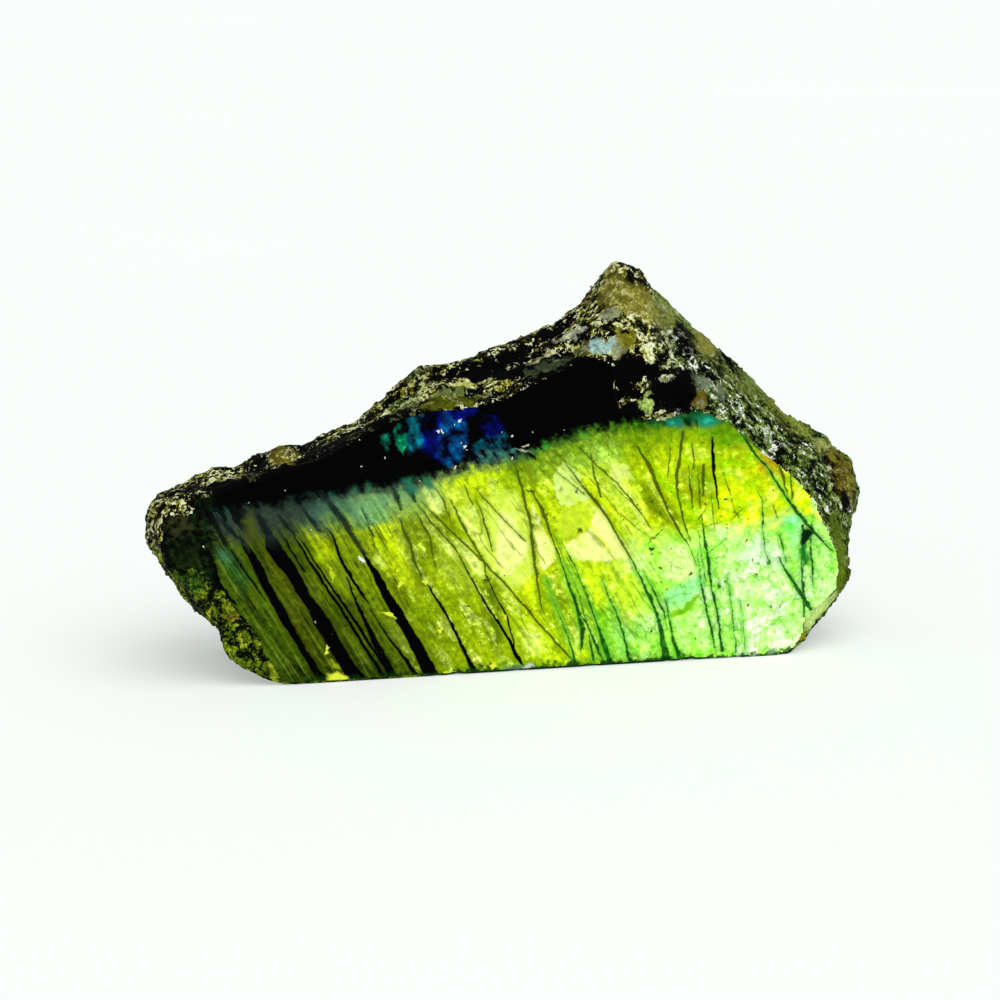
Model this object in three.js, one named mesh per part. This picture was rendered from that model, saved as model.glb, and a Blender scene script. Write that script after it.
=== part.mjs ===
// A free-standing labradorite slab: one stone, sawn and polished flat on its front, sawn flat
// behind, sawn flat underneath to stand on, and left with its natural broken rind all round.
// Millimetres. X runs along the front face, Y into the stone from the front, Z up.
// The origin is the middle of the stone's box, on the surface that it stands on.
import * as THREE from "three";
import { ImprovedNoise } from "three/addons/math/ImprovedNoise.js";

// Driving dimensions.
const THICKNESS = 20; // polished front face to sawn back face
const BEVEL = 0.5; // the worn arris round both sawn faces
const STEPS_PER_STATION = 5; // points along the outline from one station to the next
const RIND_STEPS = 10; // sections through the rind, from one arris to the other
const CREST_ROUNDNESS = 1.6; // how soon the rind levels out towards its crest, 1 is a straight chamfer
const LUMP_HEIGHT = 0.75; // the broken rind's lumps and hollows
const LUMP_SIZE = 6.5;
const CHIP_HEIGHT = 0.3; // the smaller chips on them
const CHIP_SIZE = 2.6;
const BASE_FADE = 2.5; // the height over which the lumps die away above the sawn base
const SEED = 4.2;

// Three outlines through the same stations, clockwise from the left tip as seen from the front.
// A station is the point's place on the front face, at the rind's crest half way through the
// stone, and on the back face: [x, z] each, x from the left tip and z above the base.
const STATIONS = [
  // Left end, rounded.
  { front: [0.6, 22.0], crest: [0.1, 19.4], back: [1.8, 18.0] },
  { front: [1.6, 24.0], crest: [1.3, 22.3], back: [2.7, 20.2] },
  { front: [4.6, 25.1], crest: [4.2, 24.0], back: [5.2, 21.6] },
  // The long ridge, rising to the right, with a knob early on it.
  { front: [8.0, 25.9], crest: [7.9, 25.6], back: [8.8, 23.0] },
  { front: [11.5, 26.9], crest: [11.9, 26.0], back: [12.9, 23.8] },
  { front: [14.7, 27.7], crest: [15.6, 27.6], back: [16.4, 25.0] },
  { front: [17.4, 28.5], crest: [18.3, 28.6], back: [19.6, 25.6] },
  { front: [20.2, 29.5], crest: [20.9, 28.7], back: [22.2, 26.2] },
  { front: [25.0, 31.7], crest: [26.4, 31.3], back: [27.7, 28.8] },
  { front: [29.4, 33.9], crest: [31.1, 34.2], back: [32.6, 31.6] },
  // The thick ledge that stands up behind the ridge.
  { front: [32.1, 34.6], crest: [34.1, 36.4], back: [35.5, 34.0] },
  { front: [35.3, 35.1], crest: [36.3, 38.0], back: [38.0, 35.4] },
  { front: [40.5, 35.6], crest: [40.9, 38.9], back: [42.7, 36.8] },
  { front: [45.4, 36.8], crest: [45.5, 40.2], back: [47.6, 38.0] },
  { front: [50.0, 38.9], crest: [51.0, 42.2], back: [53.2, 40.0] },
  { front: [54.5, 41.2], crest: [56.3, 45.2], back: [58.6, 42.4] },
  // The peak, leaning back and to the right.
  { front: [56.8, 43.0], crest: [59.6, 48.8], back: [61.5, 44.8] },
  { front: [58.9, 43.2], crest: [62.2, 51.6], back: [64.5, 46.4] },
  { front: [61.5, 41.7], crest: [64.9, 50.5], back: [67.2, 45.8] },
  { front: [64.2, 40.2], crest: [67.4, 47.6], back: [70.0, 43.6] },
  // The long shoulder down to the right, flaring out behind the polished face.
  { front: [69.3, 37.0], crest: [74.2, 41.3], back: [76.4, 37.8] },
  { front: [73.9, 32.8], crest: [81.2, 34.7], back: [83.4, 31.0] },
  { front: [78.5, 28.5], crest: [87.8, 28.5], back: [89.6, 25.4] },
  { front: [82.3, 25.5], crest: [91.8, 25.8], back: [92.2, 23.2] },
  // The knob at the right end, and the notch under it.
  { front: [85.6, 22.0], crest: [94.4, 23.7], back: [93.2, 21.2] },
  { front: [87.8, 18.6], crest: [95.3, 20.6], back: [93.6, 18.4] },
  { front: [88.9, 16.0], crest: [94.9, 17.3], back: [93.2, 15.4] },
  { front: [90.0, 14.2], crest: [94.0, 14.3], back: [92.6, 12.6] },
  // The lower right end, tucked in towards the base.
  { front: [90.5, 11.2], crest: [93.9, 10.4], back: [92.2, 9.2] },
  { front: [90.1, 8.5], crest: [93.7, 6.9], back: [91.6, 6.0] },
  { front: [88.2, 6.8], crest: [92.6, 4.8], back: [90.6, 3.6] },
  { front: [85.9, 4.8], crest: [90.2, 2.1], back: [89.2, 1.6] },
  { front: [85.2, 2.0], crest: [88.7, 0.6], back: [88.0, 0.4] },
  { front: [83.2, 0], crest: [86.6, 0], back: [86.2, 0] },
  // The sawn base.
  { front: [66.5, 0], crest: [68.5, 0], back: [68.5, 0] },
  { front: [49.5, 0], crest: [50.0, 0], back: [50.0, 0] },
  { front: [32.5, 0], crest: [32.0, 0], back: [32.0, 0] },
  { front: [17.8, 0], crest: [17.0, 0], back: [17.0, 0] },
  // The lower left side, broken and stepped.
  { front: [15.2, 0.4], crest: [14.2, 0], back: [14.8, 0] },
  { front: [12.6, 1.6], crest: [11.9, 0.8], back: [12.6, 0.8] },
  { front: [9.8, 4.3], crest: [9.6, 2.8], back: [10.8, 2.6] },
  { front: [8.1, 7.4], crest: [8.5, 5.7], back: [9.8, 5.4] },
  { front: [6.5, 10.6], crest: [6.2, 8.2], back: [7.4, 7.8] },
  { front: [3.4, 14.8], crest: [3.5, 11.8], back: [5.0, 11.4] },
  { front: [1.3, 18.4], crest: [0.7, 15.8], back: [2.6, 15.0] },
];

// One of the three outlines as a smooth closed curve, sampled alike on all of them.
function outline(layer) {
  const points = STATIONS.map((s) => new THREE.Vector3(s[layer][0], 0, s[layer][1]));
  const curve = new THREE.CatmullRomCurve3(points, true, "centripetal");
  const count = STATIONS.length * STEPS_PER_STATION;
  return Array.from({ length: count }, (_, i) => curve.getPoint(i / count));
}

// How far behind the front face each section lies: the two faces, and even steps between the
// two arrises.
function sectionDepths() {
  const step = (THICKNESS - 2 * BEVEL) / RIND_STEPS;
  const rind = Array.from({ length: RIND_STEPS + 1 }, (_, i) => BEVEL + i * step);
  return [0, ...rind, THICKNESS];
}

// The stone's outline at a depth, rounded over from the front face out to the crest and in
// again to the back face.
function section(depth, front, crest, back) {
  const half = THICKNESS / 2;
  const behind = depth > half;
  const toCrest = behind ? (THICKNESS - depth) / half : depth / half;
  const share = 1 - Math.pow(1 - toCrest, CREST_ROUNDNESS);
  const edge = behind ? back : front;
  return edge.map((p, i) => p.clone().lerp(crest[i], share).setY(depth));
}

// Moves a section's points outwards by an amount that depends on the point, in their own plane.
function pushOut(points, amount) {
  return points.map((p, i) => {
    const before = points.at(i - 1);
    const after = points[(i + 1) % points.length];
    const along = after.clone().sub(before).normalize();
    const out = new THREE.Vector3(-along.z, 0, along.x);
    return p.clone().addScaledVector(out, amount(p));
  });
}

const perlin = new ImprovedNoise();
const noiseAt = (p, size) => perlin.noise(p.x / size + SEED, p.y / size + SEED, p.z / size + SEED);

// The broken rind's relief, which dies away down to the base, so that the base stays flat.
function relief(p) {
  const rough = LUMP_HEIGHT * noiseAt(p, LUMP_SIZE) + CHIP_HEIGHT * noiseAt(p, CHIP_SIZE);
  return rough * THREE.MathUtils.smoothstep(p.z, 0, BASE_FADE);
}

// Every section, front to back. The two face outlines are drawn in by the bevel, and nothing
// reaches below the base.
function stoneSections() {
  const [front, crest, back] = ["front", "crest", "back"].map(outline);
  return sectionDepths().map((depth) => {
    const onFace = depth === 0 || depth === THICKNESS;
    const smooth = section(depth, front, crest, back);
    const points = pushOut(smooth, onFace ? () => -BEVEL : relief);
    return points.map((p) => p.setZ(Math.max(p.z, 0)));
  });
}

// The triangles that fill a section, by the places of its points in it.
function flatFace(points) {
  const contour = points.map((p) => new THREE.Vector2(p.x, p.z));
  return THREE.ShapeUtils.triangulateShape(contour, []);
}

// The skin between neighbouring sections, and the two flat faces that close the stone.
function stoneGeometry() {
  const sections = stoneSections();
  const around = sections[0].length;
  const index = [];
  for (let layer = 0; layer + 1 < sections.length; layer++) {
    for (let i = 0; i < around; i++) {
      const next = (i + 1) % around;
      const a = layer * around + i;
      const b = layer * around + next;
      index.push(a, b, a + around, b, b + around, a + around);
    }
  }
  const firstOfBack = (sections.length - 1) * around;
  for (const [a, b, c] of flatFace(sections[0])) {
    index.push(a, b, c);
  }
  for (const [a, b, c] of flatFace(sections.at(-1))) {
    index.push(firstOfBack + a, firstOfBack + c, firstOfBack + b);
  }
  const geometry = new THREE.BufferGeometry().setFromPoints(sections.flat());
  geometry.setIndex(index);
  return geometry;
}

// Puts the middle of the stone's box at the origin, with its base at height 0.
function centredOnBase(geometry) {
  geometry.computeBoundingBox();
  const { min, max } = geometry.boundingBox;
  geometry.translate(-(min.x + max.x) / 2, -(min.y + max.y) / 2, -min.z);
  geometry.computeVertexNormals();
  return geometry;
}

const labradorite = new THREE.MeshStandardMaterial({
  color: 0x9aa61c,
  roughness: 0.35,
  metalness: 0,
});

const slab = new THREE.Mesh(centredOnBase(stoneGeometry()), labradorite);
slab.name = "labradorite_slab";

const stone = new THREE.Group();
stone.add(slab);

export default stone;
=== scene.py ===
"""A free-standing slab of labradorite: a flat polished front with a green and gold flash, a flat
sawn back and base, and natural broken rind round the rest.

Blender's units are metres, with X along the front face, Y into the stone and Z up. The stone's own
measures are millimetres: across from the left end, up from the base, deep from the front face."""

import itertools
import math
from functools import partial

import bmesh
import bpy
import numpy as np
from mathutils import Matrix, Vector


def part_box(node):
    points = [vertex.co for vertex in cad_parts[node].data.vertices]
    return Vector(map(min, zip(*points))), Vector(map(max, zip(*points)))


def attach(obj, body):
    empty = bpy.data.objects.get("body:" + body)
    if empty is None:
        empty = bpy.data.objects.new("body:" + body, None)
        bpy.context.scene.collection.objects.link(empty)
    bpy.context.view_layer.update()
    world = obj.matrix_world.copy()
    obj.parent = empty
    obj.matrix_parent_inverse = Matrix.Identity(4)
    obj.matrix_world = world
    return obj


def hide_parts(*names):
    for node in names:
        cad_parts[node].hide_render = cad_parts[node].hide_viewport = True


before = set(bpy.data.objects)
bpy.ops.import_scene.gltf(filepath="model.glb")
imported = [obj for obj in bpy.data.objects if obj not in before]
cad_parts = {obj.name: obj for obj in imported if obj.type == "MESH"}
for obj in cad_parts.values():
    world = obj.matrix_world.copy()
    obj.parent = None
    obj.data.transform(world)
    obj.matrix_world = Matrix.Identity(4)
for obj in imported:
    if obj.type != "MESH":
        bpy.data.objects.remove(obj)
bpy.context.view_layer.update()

MM = 0.001
LOW, HIGH = (np.array(corner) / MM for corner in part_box("labradorite_slab"))
WIDTH, THICKNESS = (HIGH - LOW)[:2]

# ---------------------------------------------------------------- numbers alone

SCRAMBLERS = (374761393, 668265263, 974711191, 1274126177)  # for x, y, z and the seed
STIRRER = 1103515245
BITS_32, BITS_16 = 0xFFFFFFFF, 0xFFFF


def smoothstep(value, low, high):
    share = np.clip((value - low) / (high - low), 0, 1)
    return share * share * (3 - 2 * share)


def corner_number(cells, seed):
    """A number from 0 to 1 for each whole-numbered lattice corner, the same on every run."""
    mixed = sum(part * scrambler for part, scrambler in zip((*cells.T, seed), SCRAMBLERS)) & BITS_32
    mixed = ((mixed ^ (mixed >> 13)) * STIRRER) & BITS_32
    return ((mixed ^ (mixed >> 16)) & BITS_16) / BITS_16


def lumps(points, size, seed):
    """Smooth noise from -1 to 1, with lumps of about that size."""
    cells = np.floor(points / size).astype(np.int64)
    share = smoothstep(points / size - cells, 0, 1)
    total = np.zeros(len(points))
    for corner in itertools.product((0, 1), repeat=3):
        weight = np.prod(np.where(corner, share, 1 - share), axis=1)
        total += weight * corner_number(cells + corner, seed)
    return 2 * total - 1


def broken_faces(points, size, seed):
    """The heights of small flat faces, each with a tilt of its own, with steps between them."""
    cells = np.floor(points / size).astype(np.int64)
    nearest = np.full(len(points), np.inf)
    height = np.zeros(len(points))
    for step in itertools.product((-1, 0, 1), repeat=3):
        corner = cells + step
        jitter = np.stack([corner_number(corner, seed + axis) for axis in range(3)], axis=1)
        tilt = np.stack([corner_number(corner, seed + 3 + axis) for axis in range(3)], axis=1)
        offset = points / size - corner - jitter
        distance = (offset**2).sum(axis=1)
        closer = distance < nearest
        nearest = np.where(closer, distance, nearest)
        own = (offset * (2 * tilt - 1)).sum(axis=1) + corner_number(corner, seed + 6) - 0.5
        height = np.where(closer, own, height)
    return height


# ---------------------------------------------------------------- the stone's mesh

VOXEL = 0.25
MOST_TRIANGLES = 190000
SAME_PLACE = 0.001  # corners this near to each other are one
FLAT_WITHIN = 0.15  # a point this near a sawn or polished plane is moved onto it
ON_PLANE = 0.01  # and counts as on the plane when it is this near
SAWN_BORDER, POLISH_BORDER = 1.0, 1.5  # how far in from its edges a flat face is plain
STRIP_DEPTH = 1.2  # how deep the broken strip round the polish reaches
PLAIN_FIRST = 10  # how much sooner the plain parts are thinned than the rest

# The outline of the polish: (across, up). The front is broken off rough between it and the rind.
POLISH = [(16.3, 0), (14.7, 2.6), (13.3, 5.8), (11.8, 9.0), (9.5, 11.6), (7.8, 14.3), (5.6, 16.2),
          (3.3, 16.0), (0.8, 18.8), (0.2, 21.6), (1.8, 22.7), (5.4, 23.5), (6.2, 26.6), (12, 27.4),
          (18, 28.3), (24, 31), (29, 33.9), (33, 35.1), (42, 35.7), (46, 37.2), (50, 39.0), (54, 40.7),
          (57.4, 41.2), (59.2, 40.2), (59.6, 36.4), (60.8, 33.4), (64, 32.7), (68, 33.1), (71, 33.6),
          (73.1, 32.8), (75.6, 31.1), (78.2, 29.2), (80.8, 27.2), (83.2, 24.9), (85.8, 22.0), (87.5, 19.2),
          (89.0, 17.3), (90.2, 13.1), (90.5, 9.8), (89.8, 7.6), (87.3, 5.5), (85.8, 4.3), (85.7, 2.4),
          (84.8, 1.0), (83.5, 0)]


def as_measures(points):
    """Millimetres across, deep and up, from points in metres."""
    return points / MM - LOW


def fine_mesh(node):
    """The solid's surface again in small even faces."""
    coarse = node.data.copy()
    shell = bmesh.new()
    shell.from_mesh(coarse)
    bmesh.ops.remove_doubles(shell, verts=shell.verts, dist=SAME_PLACE * MM)
    shell.to_mesh(coarse)
    shell.free()
    holder = bpy.data.objects.new("coarse_stone", coarse)
    bpy.context.scene.collection.objects.link(holder)
    voxels = holder.modifiers.new("voxels", "REMESH")
    voxels.mode = "VOXEL"
    voxels.voxel_size = VOXEL * MM
    mesh = applied(holder)
    bpy.data.objects.remove(holder)
    return mesh


def applied(piece):
    """The piece's mesh with its modifiers worked in."""
    shown = piece.evaluated_get(bpy.context.evaluated_depsgraph_get())
    return bpy.data.meshes.new_from_object(shown)


def numbers_of(items, name, width=1, kind=float):
    """One property of every item, as an array with that many numbers to an item."""
    found = np.empty(len(items) * width, kind)
    items.foreach_get(name, found)
    return found.reshape(-1, width) if width > 1 else found


def positions(mesh):
    return numbers_of(mesh.vertices, "co", 3)


def rind_height(points):
    """How far the broken rind stands out from the smooth solid, in millimetres."""
    across, deep, up = points.T
    coarse_faces = 0.34 * broken_faces(points, size=3.4, seed=11)
    small_faces = 0.2 * broken_faces(points, size=1.3, seed=23)
    grain = 0.09 * lumps(points, size=0.55, seed=31) + 0.05 * lumps(points, size=0.3, seed=37)
    height = coarse_faces + small_faces + grain + ledge_height(across, deep) + knob_height(points)
    from_planes = np.minimum(deep, THICKNESS - deep)
    return height * smoothstep(from_planes, 0.3, 1.3) * smoothstep(up, 0.2, 1.6)


# Knobs that stand out of the rind: (centre across, deep and up; radius, height).
KNOBS = [((17.6, 6.5, 28.3), 2.0, 1.2), ((14.4, 11.0, 27.0), 2.0, 0.5), ((8.0, 7.5, 25.4), 1.5, 0.5),
         ((10.4, 12.0, 26.2), 2.2, 0.5), ((91.0, 7.0, 27.0), 1.8, 0.4), ((45.0, 10.0, 39.6), 2.6, 0.4)]


def knob_height(points):
    total = np.zeros(len(points))
    for centre, radius, height in KNOBS:
        away = np.linalg.norm(points - centre, axis=1)
        total += height * smoothstep(away, radius, radius * 0.55)
    return total


def ledge_height(across, deep):
    """The stepped ledge behind the ridge: a lip, a deep groove behind it and a rounded back."""
    on_ledge = smoothstep(across, 28, 33) * smoothstep(across, 60, 55)
    stops = [(0, 0), (1.6, 0.1), (2.6, 0.75), (4.6, 0.6), (5.4, -0.7), (7.6, -0.8), (8.8, 0.3), (13, 0.1),
             (20, 0)]
    depths, heights = zip(*stops)
    wandering = deep + 0.9 * np.sin(across / 3.1) + 0.5 * np.sin(across / 1.3)
    return on_ledge * np.interp(wandering, depths, heights)


def outside_polish(points):
    """How far outside the outline of the polish each point of the front lies, in millimetres."""
    across, _, up = points.T
    nearest = np.full(len(points), np.inf)
    within = np.zeros(len(points), bool)
    for (a, b), (c, d) in zip(POLISH, POLISH[1:] + POLISH[:1]):
        along = ((across - a) * (c - a) + (up - b) * (d - b)) / ((c - a) ** 2 + (d - b) ** 2)
        along = np.clip(along, 0, 1)
        nearest = np.minimum(nearest, np.hypot(across - a - along * (c - a), up - b - along * (d - b)))
        crosses = (b > up) != (d > up)
        level = np.where(crosses, up, b)
        within ^= crosses & (across < a + (c - a) * (level - b) / (d - b if d != b else 1))
    return np.where(within, -nearest, nearest)


def broken_back(points):
    """How far the unpolished parts of the front are broken back, in millimetres."""
    outside = outside_polish(points) + 0.3 * lumps(points, size=1.1, seed=47)
    outside += 0.4 * lumps(points, size=2.6, seed=53)
    rough = 0.3 + 0.3 * broken_faces(points, size=1.5, seed=41) + 0.12 * lumps(points, size=0.5, seed=43)
    return smoothstep(outside, 0, 0.45) * np.maximum(rough, 0.06) * smoothstep(points[:, 1], STRIP_DEPTH, 0.2)


def is_plain(points):
    """Whether each point is well inside a flat face, where few triangles are enough."""
    _, deep, up = points.T
    front = (deep < ON_PLANE) & (outside_polish(points) < -POLISH_BORDER) & (up > SAWN_BORDER)
    back = (deep > THICKNESS - ON_PLANE) & (up > SAWN_BORDER)
    return front | back | ((up < ON_PLANE) & (deep > SAWN_BORDER))


def shaped_stone():
    """The whole stone as one piece, with its broken rind as real relief."""
    mesh = fine_mesh(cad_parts["labradorite_slab"])
    points = as_measures(positions(mesh))
    normals = numbers_of(mesh.vertex_normals, "vector", 3)
    for axis, level in ((1, 0), (1, THICKNESS), (2, 0)):
        near = np.abs(points[:, axis] - level) < FLAT_WITHIN
        points[near, axis] = level
    _, deep, up = points.T
    on_plane = (deep < ON_PLANE) | (deep > THICKNESS - ON_PLANE) | (up < ON_PLANE)
    height = np.where(on_plane, 0, rind_height(points))
    shaped = points + normals * height[:, None]
    front = deep < STRIP_DEPTH
    shaped[front, 1] += broken_back(points[front])
    shaped[:, 2] = np.maximum(shaped[:, 2], 0)
    mesh.vertices.foreach_set("co", ((shaped + LOW) * MM).ravel())
    piece = bpy.data.objects.new("labradorite_stone", mesh)
    bpy.context.scene.collection.objects.link(piece)
    plain = piece.vertex_groups.new(name="plain")
    plain.add([int(index) for index in np.flatnonzero(is_plain(points))], 1, "REPLACE")
    thinned = piece.modifiers.new("thinned", "DECIMATE")
    thinned.vertex_group = plain.name
    thinned.vertex_group_factor = PLAIN_FIRST
    thinned.ratio = min(1, MOST_TRIANGLES / (2 * len(mesh.polygons)))
    piece.data = applied(piece)
    piece.modifiers.clear()
    piece.data.materials.clear()
    piece.vertex_groups.clear()
    return piece


# ---------------------------------------------------------------- the stone's map

MAP_SIDE = 151.0  # the stone's millimetres along each side of the map
MAP_MARGIN = np.array((1.5, 1.0))
TAIL = 2.0  # how far a face of the rind may reach along its row from its own middle
SQUARE_ON, DOWNWARDS = 0.6, 0.9  # how squarely a face turns outwards to be laid out flat
FRONT_WITHIN, BACK_WITHIN, BASE_WITHIN = 2.0, 1.5, 0.05  # and how near it is to that side
BACK_ROW, RIND_ROW, ROW_GAP, BASE_COLUMN = 53.5, 106.5, 22.5, 101.0  # where each view starts
ROW_LENGTH = 115.0  # the rind is laid out in two rows of this length
RIND_START = 32.0  # how far along the first row the left end of the base is
PER_TURN = 25.0  # millimetres to a radian under the base
MIDDLE = (47.0, 12.0)  # the rind is unrolled round this (across, up)
# Places on the rind, clockwise from the left end of the base: (across, up).
ROUND_THE_RIND = [(16, 0), (0, 20), (3, 24), (18, 29), (42, 36), (62, 50), (91, 27), (95, 18), (91, 6),
                  (84, 0)]


def along_rind(across, up):
    """How far round the stone each place is, in millimetres, clockwise from the left end of the base."""
    ends = np.array(ROUND_THE_RIND, float)
    lengths = np.concatenate([[0], np.cumsum(np.hypot(*np.diff(ends, axis=0).T))])
    turns = turn_from_below(*ends.T)
    turn = turn_from_below(across, up)
    before = (turn - turns[0]) * PER_TURN
    after = lengths[-1] + (turn - turns[-1]) * PER_TURN
    between = np.interp(turn, turns, lengths)
    return np.where(turn < turns[0], before, np.where(turn > turns[-1], after, between))


def turn_from_below(across, up):
    """The clockwise angle from straight below the middle, in radians."""
    return (-np.pi / 2 - np.arctan2(up - MIDDLE[1], across - MIDDLE[0])) % (2 * np.pi)


def lay_out(piece):
    """Gives the piece a map of its own: flat views of its front, back and base, and the rind in two rows."""
    mesh = piece.data
    points = as_measures(positions(mesh))[numbers_of(mesh.loops, "vertex_index", kind=int)]
    sides = numbers_of(mesh.polygons, "loop_total", kind=int)
    centres = as_measures(numbers_of(mesh.polygons, "center", 3))
    facing = numbers_of(mesh.polygons, "normal", 3)
    middle = np.repeat(along_rind(centres[:, 0], centres[:, 2]) + RIND_START, sides)
    row = middle > ROW_LENGTH
    front = np.repeat((facing[:, 1] < -SQUARE_ON) & (centres[:, 1] < FRONT_WITHIN), sides)
    back = np.repeat((facing[:, 1] > SQUARE_ON) & (centres[:, 1] > THICKNESS - BACK_WITHIN), sides)
    base = np.repeat((facing[:, 2] < -DOWNWARDS) & (centres[:, 2] < BASE_WITHIN), sides)
    across, deep, up = points.T
    along = np.clip(along_rind(across, up) + RIND_START, middle - TAIL, middle + TAIL) - row * ROW_LENGTH
    x = np.select([front, back, base], [across, WIDTH - across, BASE_COLUMN + deep], along)
    y = np.select([front, back, base], [up, BACK_ROW + up, across], RIND_ROW + row * ROW_GAP + deep)
    layer = mesh.uv_layers.new(name="OFBake")
    layer.uv.foreach_set("vector", ((np.stack([x, y], axis=1) + MAP_MARGIN) / MAP_SIDE).ravel())


# ---------------------------------------------------------------- shader maths

MIX_FACTOR, MIX_A, MIX_B, MIX_RESULT = 0, 6, 7, 2


class Wire:
    """One output of a shader node. Arithmetic on it adds Math nodes."""

    def __init__(self, shader, socket):
        self.shader = shader
        self.socket = socket

    def maths(self, operation, first, second=0.0):
        return self.shader.node("ShaderNodeMath", {"operation": operation}, {0: first, 1: second})

    def __add__(self, other):
        return self.maths("ADD", self, other)

    __radd__ = __add__

    def __sub__(self, other):
        return self.maths("SUBTRACT", self, other)

    def __rsub__(self, other):
        return self.maths("SUBTRACT", other, self)

    def __mul__(self, other):
        return self.maths("MULTIPLY", self, other)

    __rmul__ = __mul__

    def __truediv__(self, other):
        return self.maths("DIVIDE", self, other)

    def __abs__(self):
        return self.maths("ABSOLUTE", self)

    def greatest(self, other):
        return self.maths("MAXIMUM", self, other)

    def least(self, other):
        return self.maths("MINIMUM", self, other)


class Shader:
    """The nodes of a material, or of one part of it."""

    def __init__(self, tree):
        self.tree = tree
        tree.nodes.clear()

    def place(self):
        """The point's own across, deep and up, in millimetres."""
        point = self.node("ShaderNodeTexCoord", output="Object")
        settings = {"operation": "MULTIPLY_ADD"}
        return self.node("ShaderNodeVectorMath", settings, {0: point, 1: (1 / MM,) * 3, 2: tuple(-LOW)})

    def part(self, name, wires, build):
        """A group of nodes. Its builder is given the group's shader and wires, and gives back one wire."""
        tree = bpy.data.node_groups.new(name, "ShaderNodeTree")
        inner = Shader(tree)
        for key, wire in wires.items():
            tree.interface.new_socket(key, in_out="INPUT", socket_type=wire.socket.bl_idname)
        entry = tree.nodes.new("NodeGroupInput")
        result = build(inner, *(Wire(inner, entry.outputs[key]) for key in wires))
        tree.interface.new_socket("result", in_out="OUTPUT", socket_type=result.socket.bl_idname)
        inner.node("NodeGroupOutput", inputs={"result": result})
        return self.node("ShaderNodeGroup", {"node_tree": tree}, wires)

    def node(self, kind, settings=None, inputs=None, output=0):
        """Adds a node. Its settings are made first, then its sockets are given values or links."""
        made = self.tree.nodes.new(kind)
        for name, value in (settings or {}).items():
            if name == "stops":
                set_stops(made.color_ramp, value)
            elif name == "points":
                set_points(made.mapping, value)
            else:
                setattr(made, name, value)
        for name, value in (inputs or {}).items():
            if isinstance(value, Wire):
                self.tree.links.new(value.socket, made.inputs[name])
            else:
                made.inputs[name].default_value = value
        return Wire(self, made.outputs[output]) if len(made.outputs) else None

    def part_of(self, vector, axis):
        return self.node("ShaderNodeSeparateXYZ", inputs={0: vector}, output=axis)

    def smooth(self, value, low, high):
        """0 at low and 1 at high, with a soft start and end. Low may be the larger."""
        settings = {"interpolation_type": "SMOOTHSTEP"}
        return self.node("ShaderNodeMapRange", settings, {0: value, 1: low, 2: high})

    def noise(self, vector, size, detail=2.0, roughness=0.5, output="Fac"):
        """Cloudy noise about 0.5, with clouds of that size in the vector's own unit."""
        values = {"Vector": vector, "Scale": 1 / size, "Detail": detail, "Roughness": roughness}
        return self.node("ShaderNodeTexNoise", inputs=values, output=output)

    def cells(self, vector, size, feature="F1", output="Distance"):
        values = {"Vector": vector, "Scale": 1 / size}
        return self.node("ShaderNodeTexVoronoi", {"feature": feature}, values, output)

    def mix(self, first, second, factor, blend="MIX"):
        settings = {"data_type": "RGBA", "blend_type": blend}
        values = {MIX_FACTOR: factor, MIX_A: first, MIX_B: second}
        return self.node("ShaderNodeMix", settings, values, MIX_RESULT)

    def blend(self, first, second, share):
        """Between two numbers, by that share."""
        return first + (second - first) * share

    def coated(self, colour, *coats):
        """The colour with each coat of (colour, mask) laid over it in turn."""
        for coat, mask in coats:
            colour = self.mix(colour, coat, mask)
        return colour

    def bump(self, height, strength, depth):
        """The normal over relief that is up to that many millimetres deep."""
        values = {"Strength": strength, "Distance": depth * MM, "Height": height}
        return self.node("ShaderNodeBump", inputs=values)

    def ramp(self, value, stops):
        """A colour for the value, through stops of (value, colour)."""
        return self.node("ShaderNodeValToRGB", {"stops": stops}, {0: value})

    def inside(self, vector, corners, softness):
        """1 inside an outline that bulges outwards everywhere and 0 outside it. The vector's Z is 1."""
        turn = sum(a * d - b * c for (a, b), (c, d) in zip(corners, corners[1:] + corners[:1]))
        corners = corners if turn > 0 else corners[::-1]
        settings = {"operation": "DOT_PRODUCT"}
        nearest = None
        for (a, b), (c, d) in zip(corners, corners[1:] + corners[:1]):
            length = math.hypot(c - a, d - b)
            inward = ((b - d) / length, (c - a) / length, (a * d - b * c) / length)
            depth = self.node("ShaderNodeVectorMath", settings, {0: vector, 1: inward}, "Value")
            nearest = depth if nearest is None else nearest.least(depth)
        return self.smooth(nearest, -softness, softness)

    def height_along(self, across, points):
        """A level in millimetres for each place across the face, through (across, up) points."""
        scaled = [(a / WIDTH, b / WIDTH) for a, b in points]
        return self.node("ShaderNodeFloatCurve", {"points": scaled}, {1: across / WIDTH}) * WIDTH

    def vector(self, operation, first, second):
        return self.node("ShaderNodeVectorMath", {"operation": operation}, {0: first, 1: second})

    def jolted(self, vector, size, most, detail=2.0, axes=(1, 1, 0)):
        """The vector pushed about by up to that much along those axes, by noise of that size."""
        push = self.noise(vector, size, detail, 0.6, "Color")
        settings = {"operation": "MULTIPLY_ADD"}
        # Noise mostly stays within 0.25 of 0.5, which times 4 less 2 is within 1 of 0.
        spread, back = (tuple(share * most * axis for axis in axes) for share in (4, -2))
        centred = self.node("ShaderNodeVectorMath", settings, {0: push, 1: spread, 2: back})
        return self.vector("ADD", vector, centred)

    def grey(self, value):
        return self.node("ShaderNodeCombineColor", inputs={0: value, 1: value, 2: value})


GLOW_COLOUR = (0.95, 1.0, 0.98, 1)


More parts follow.
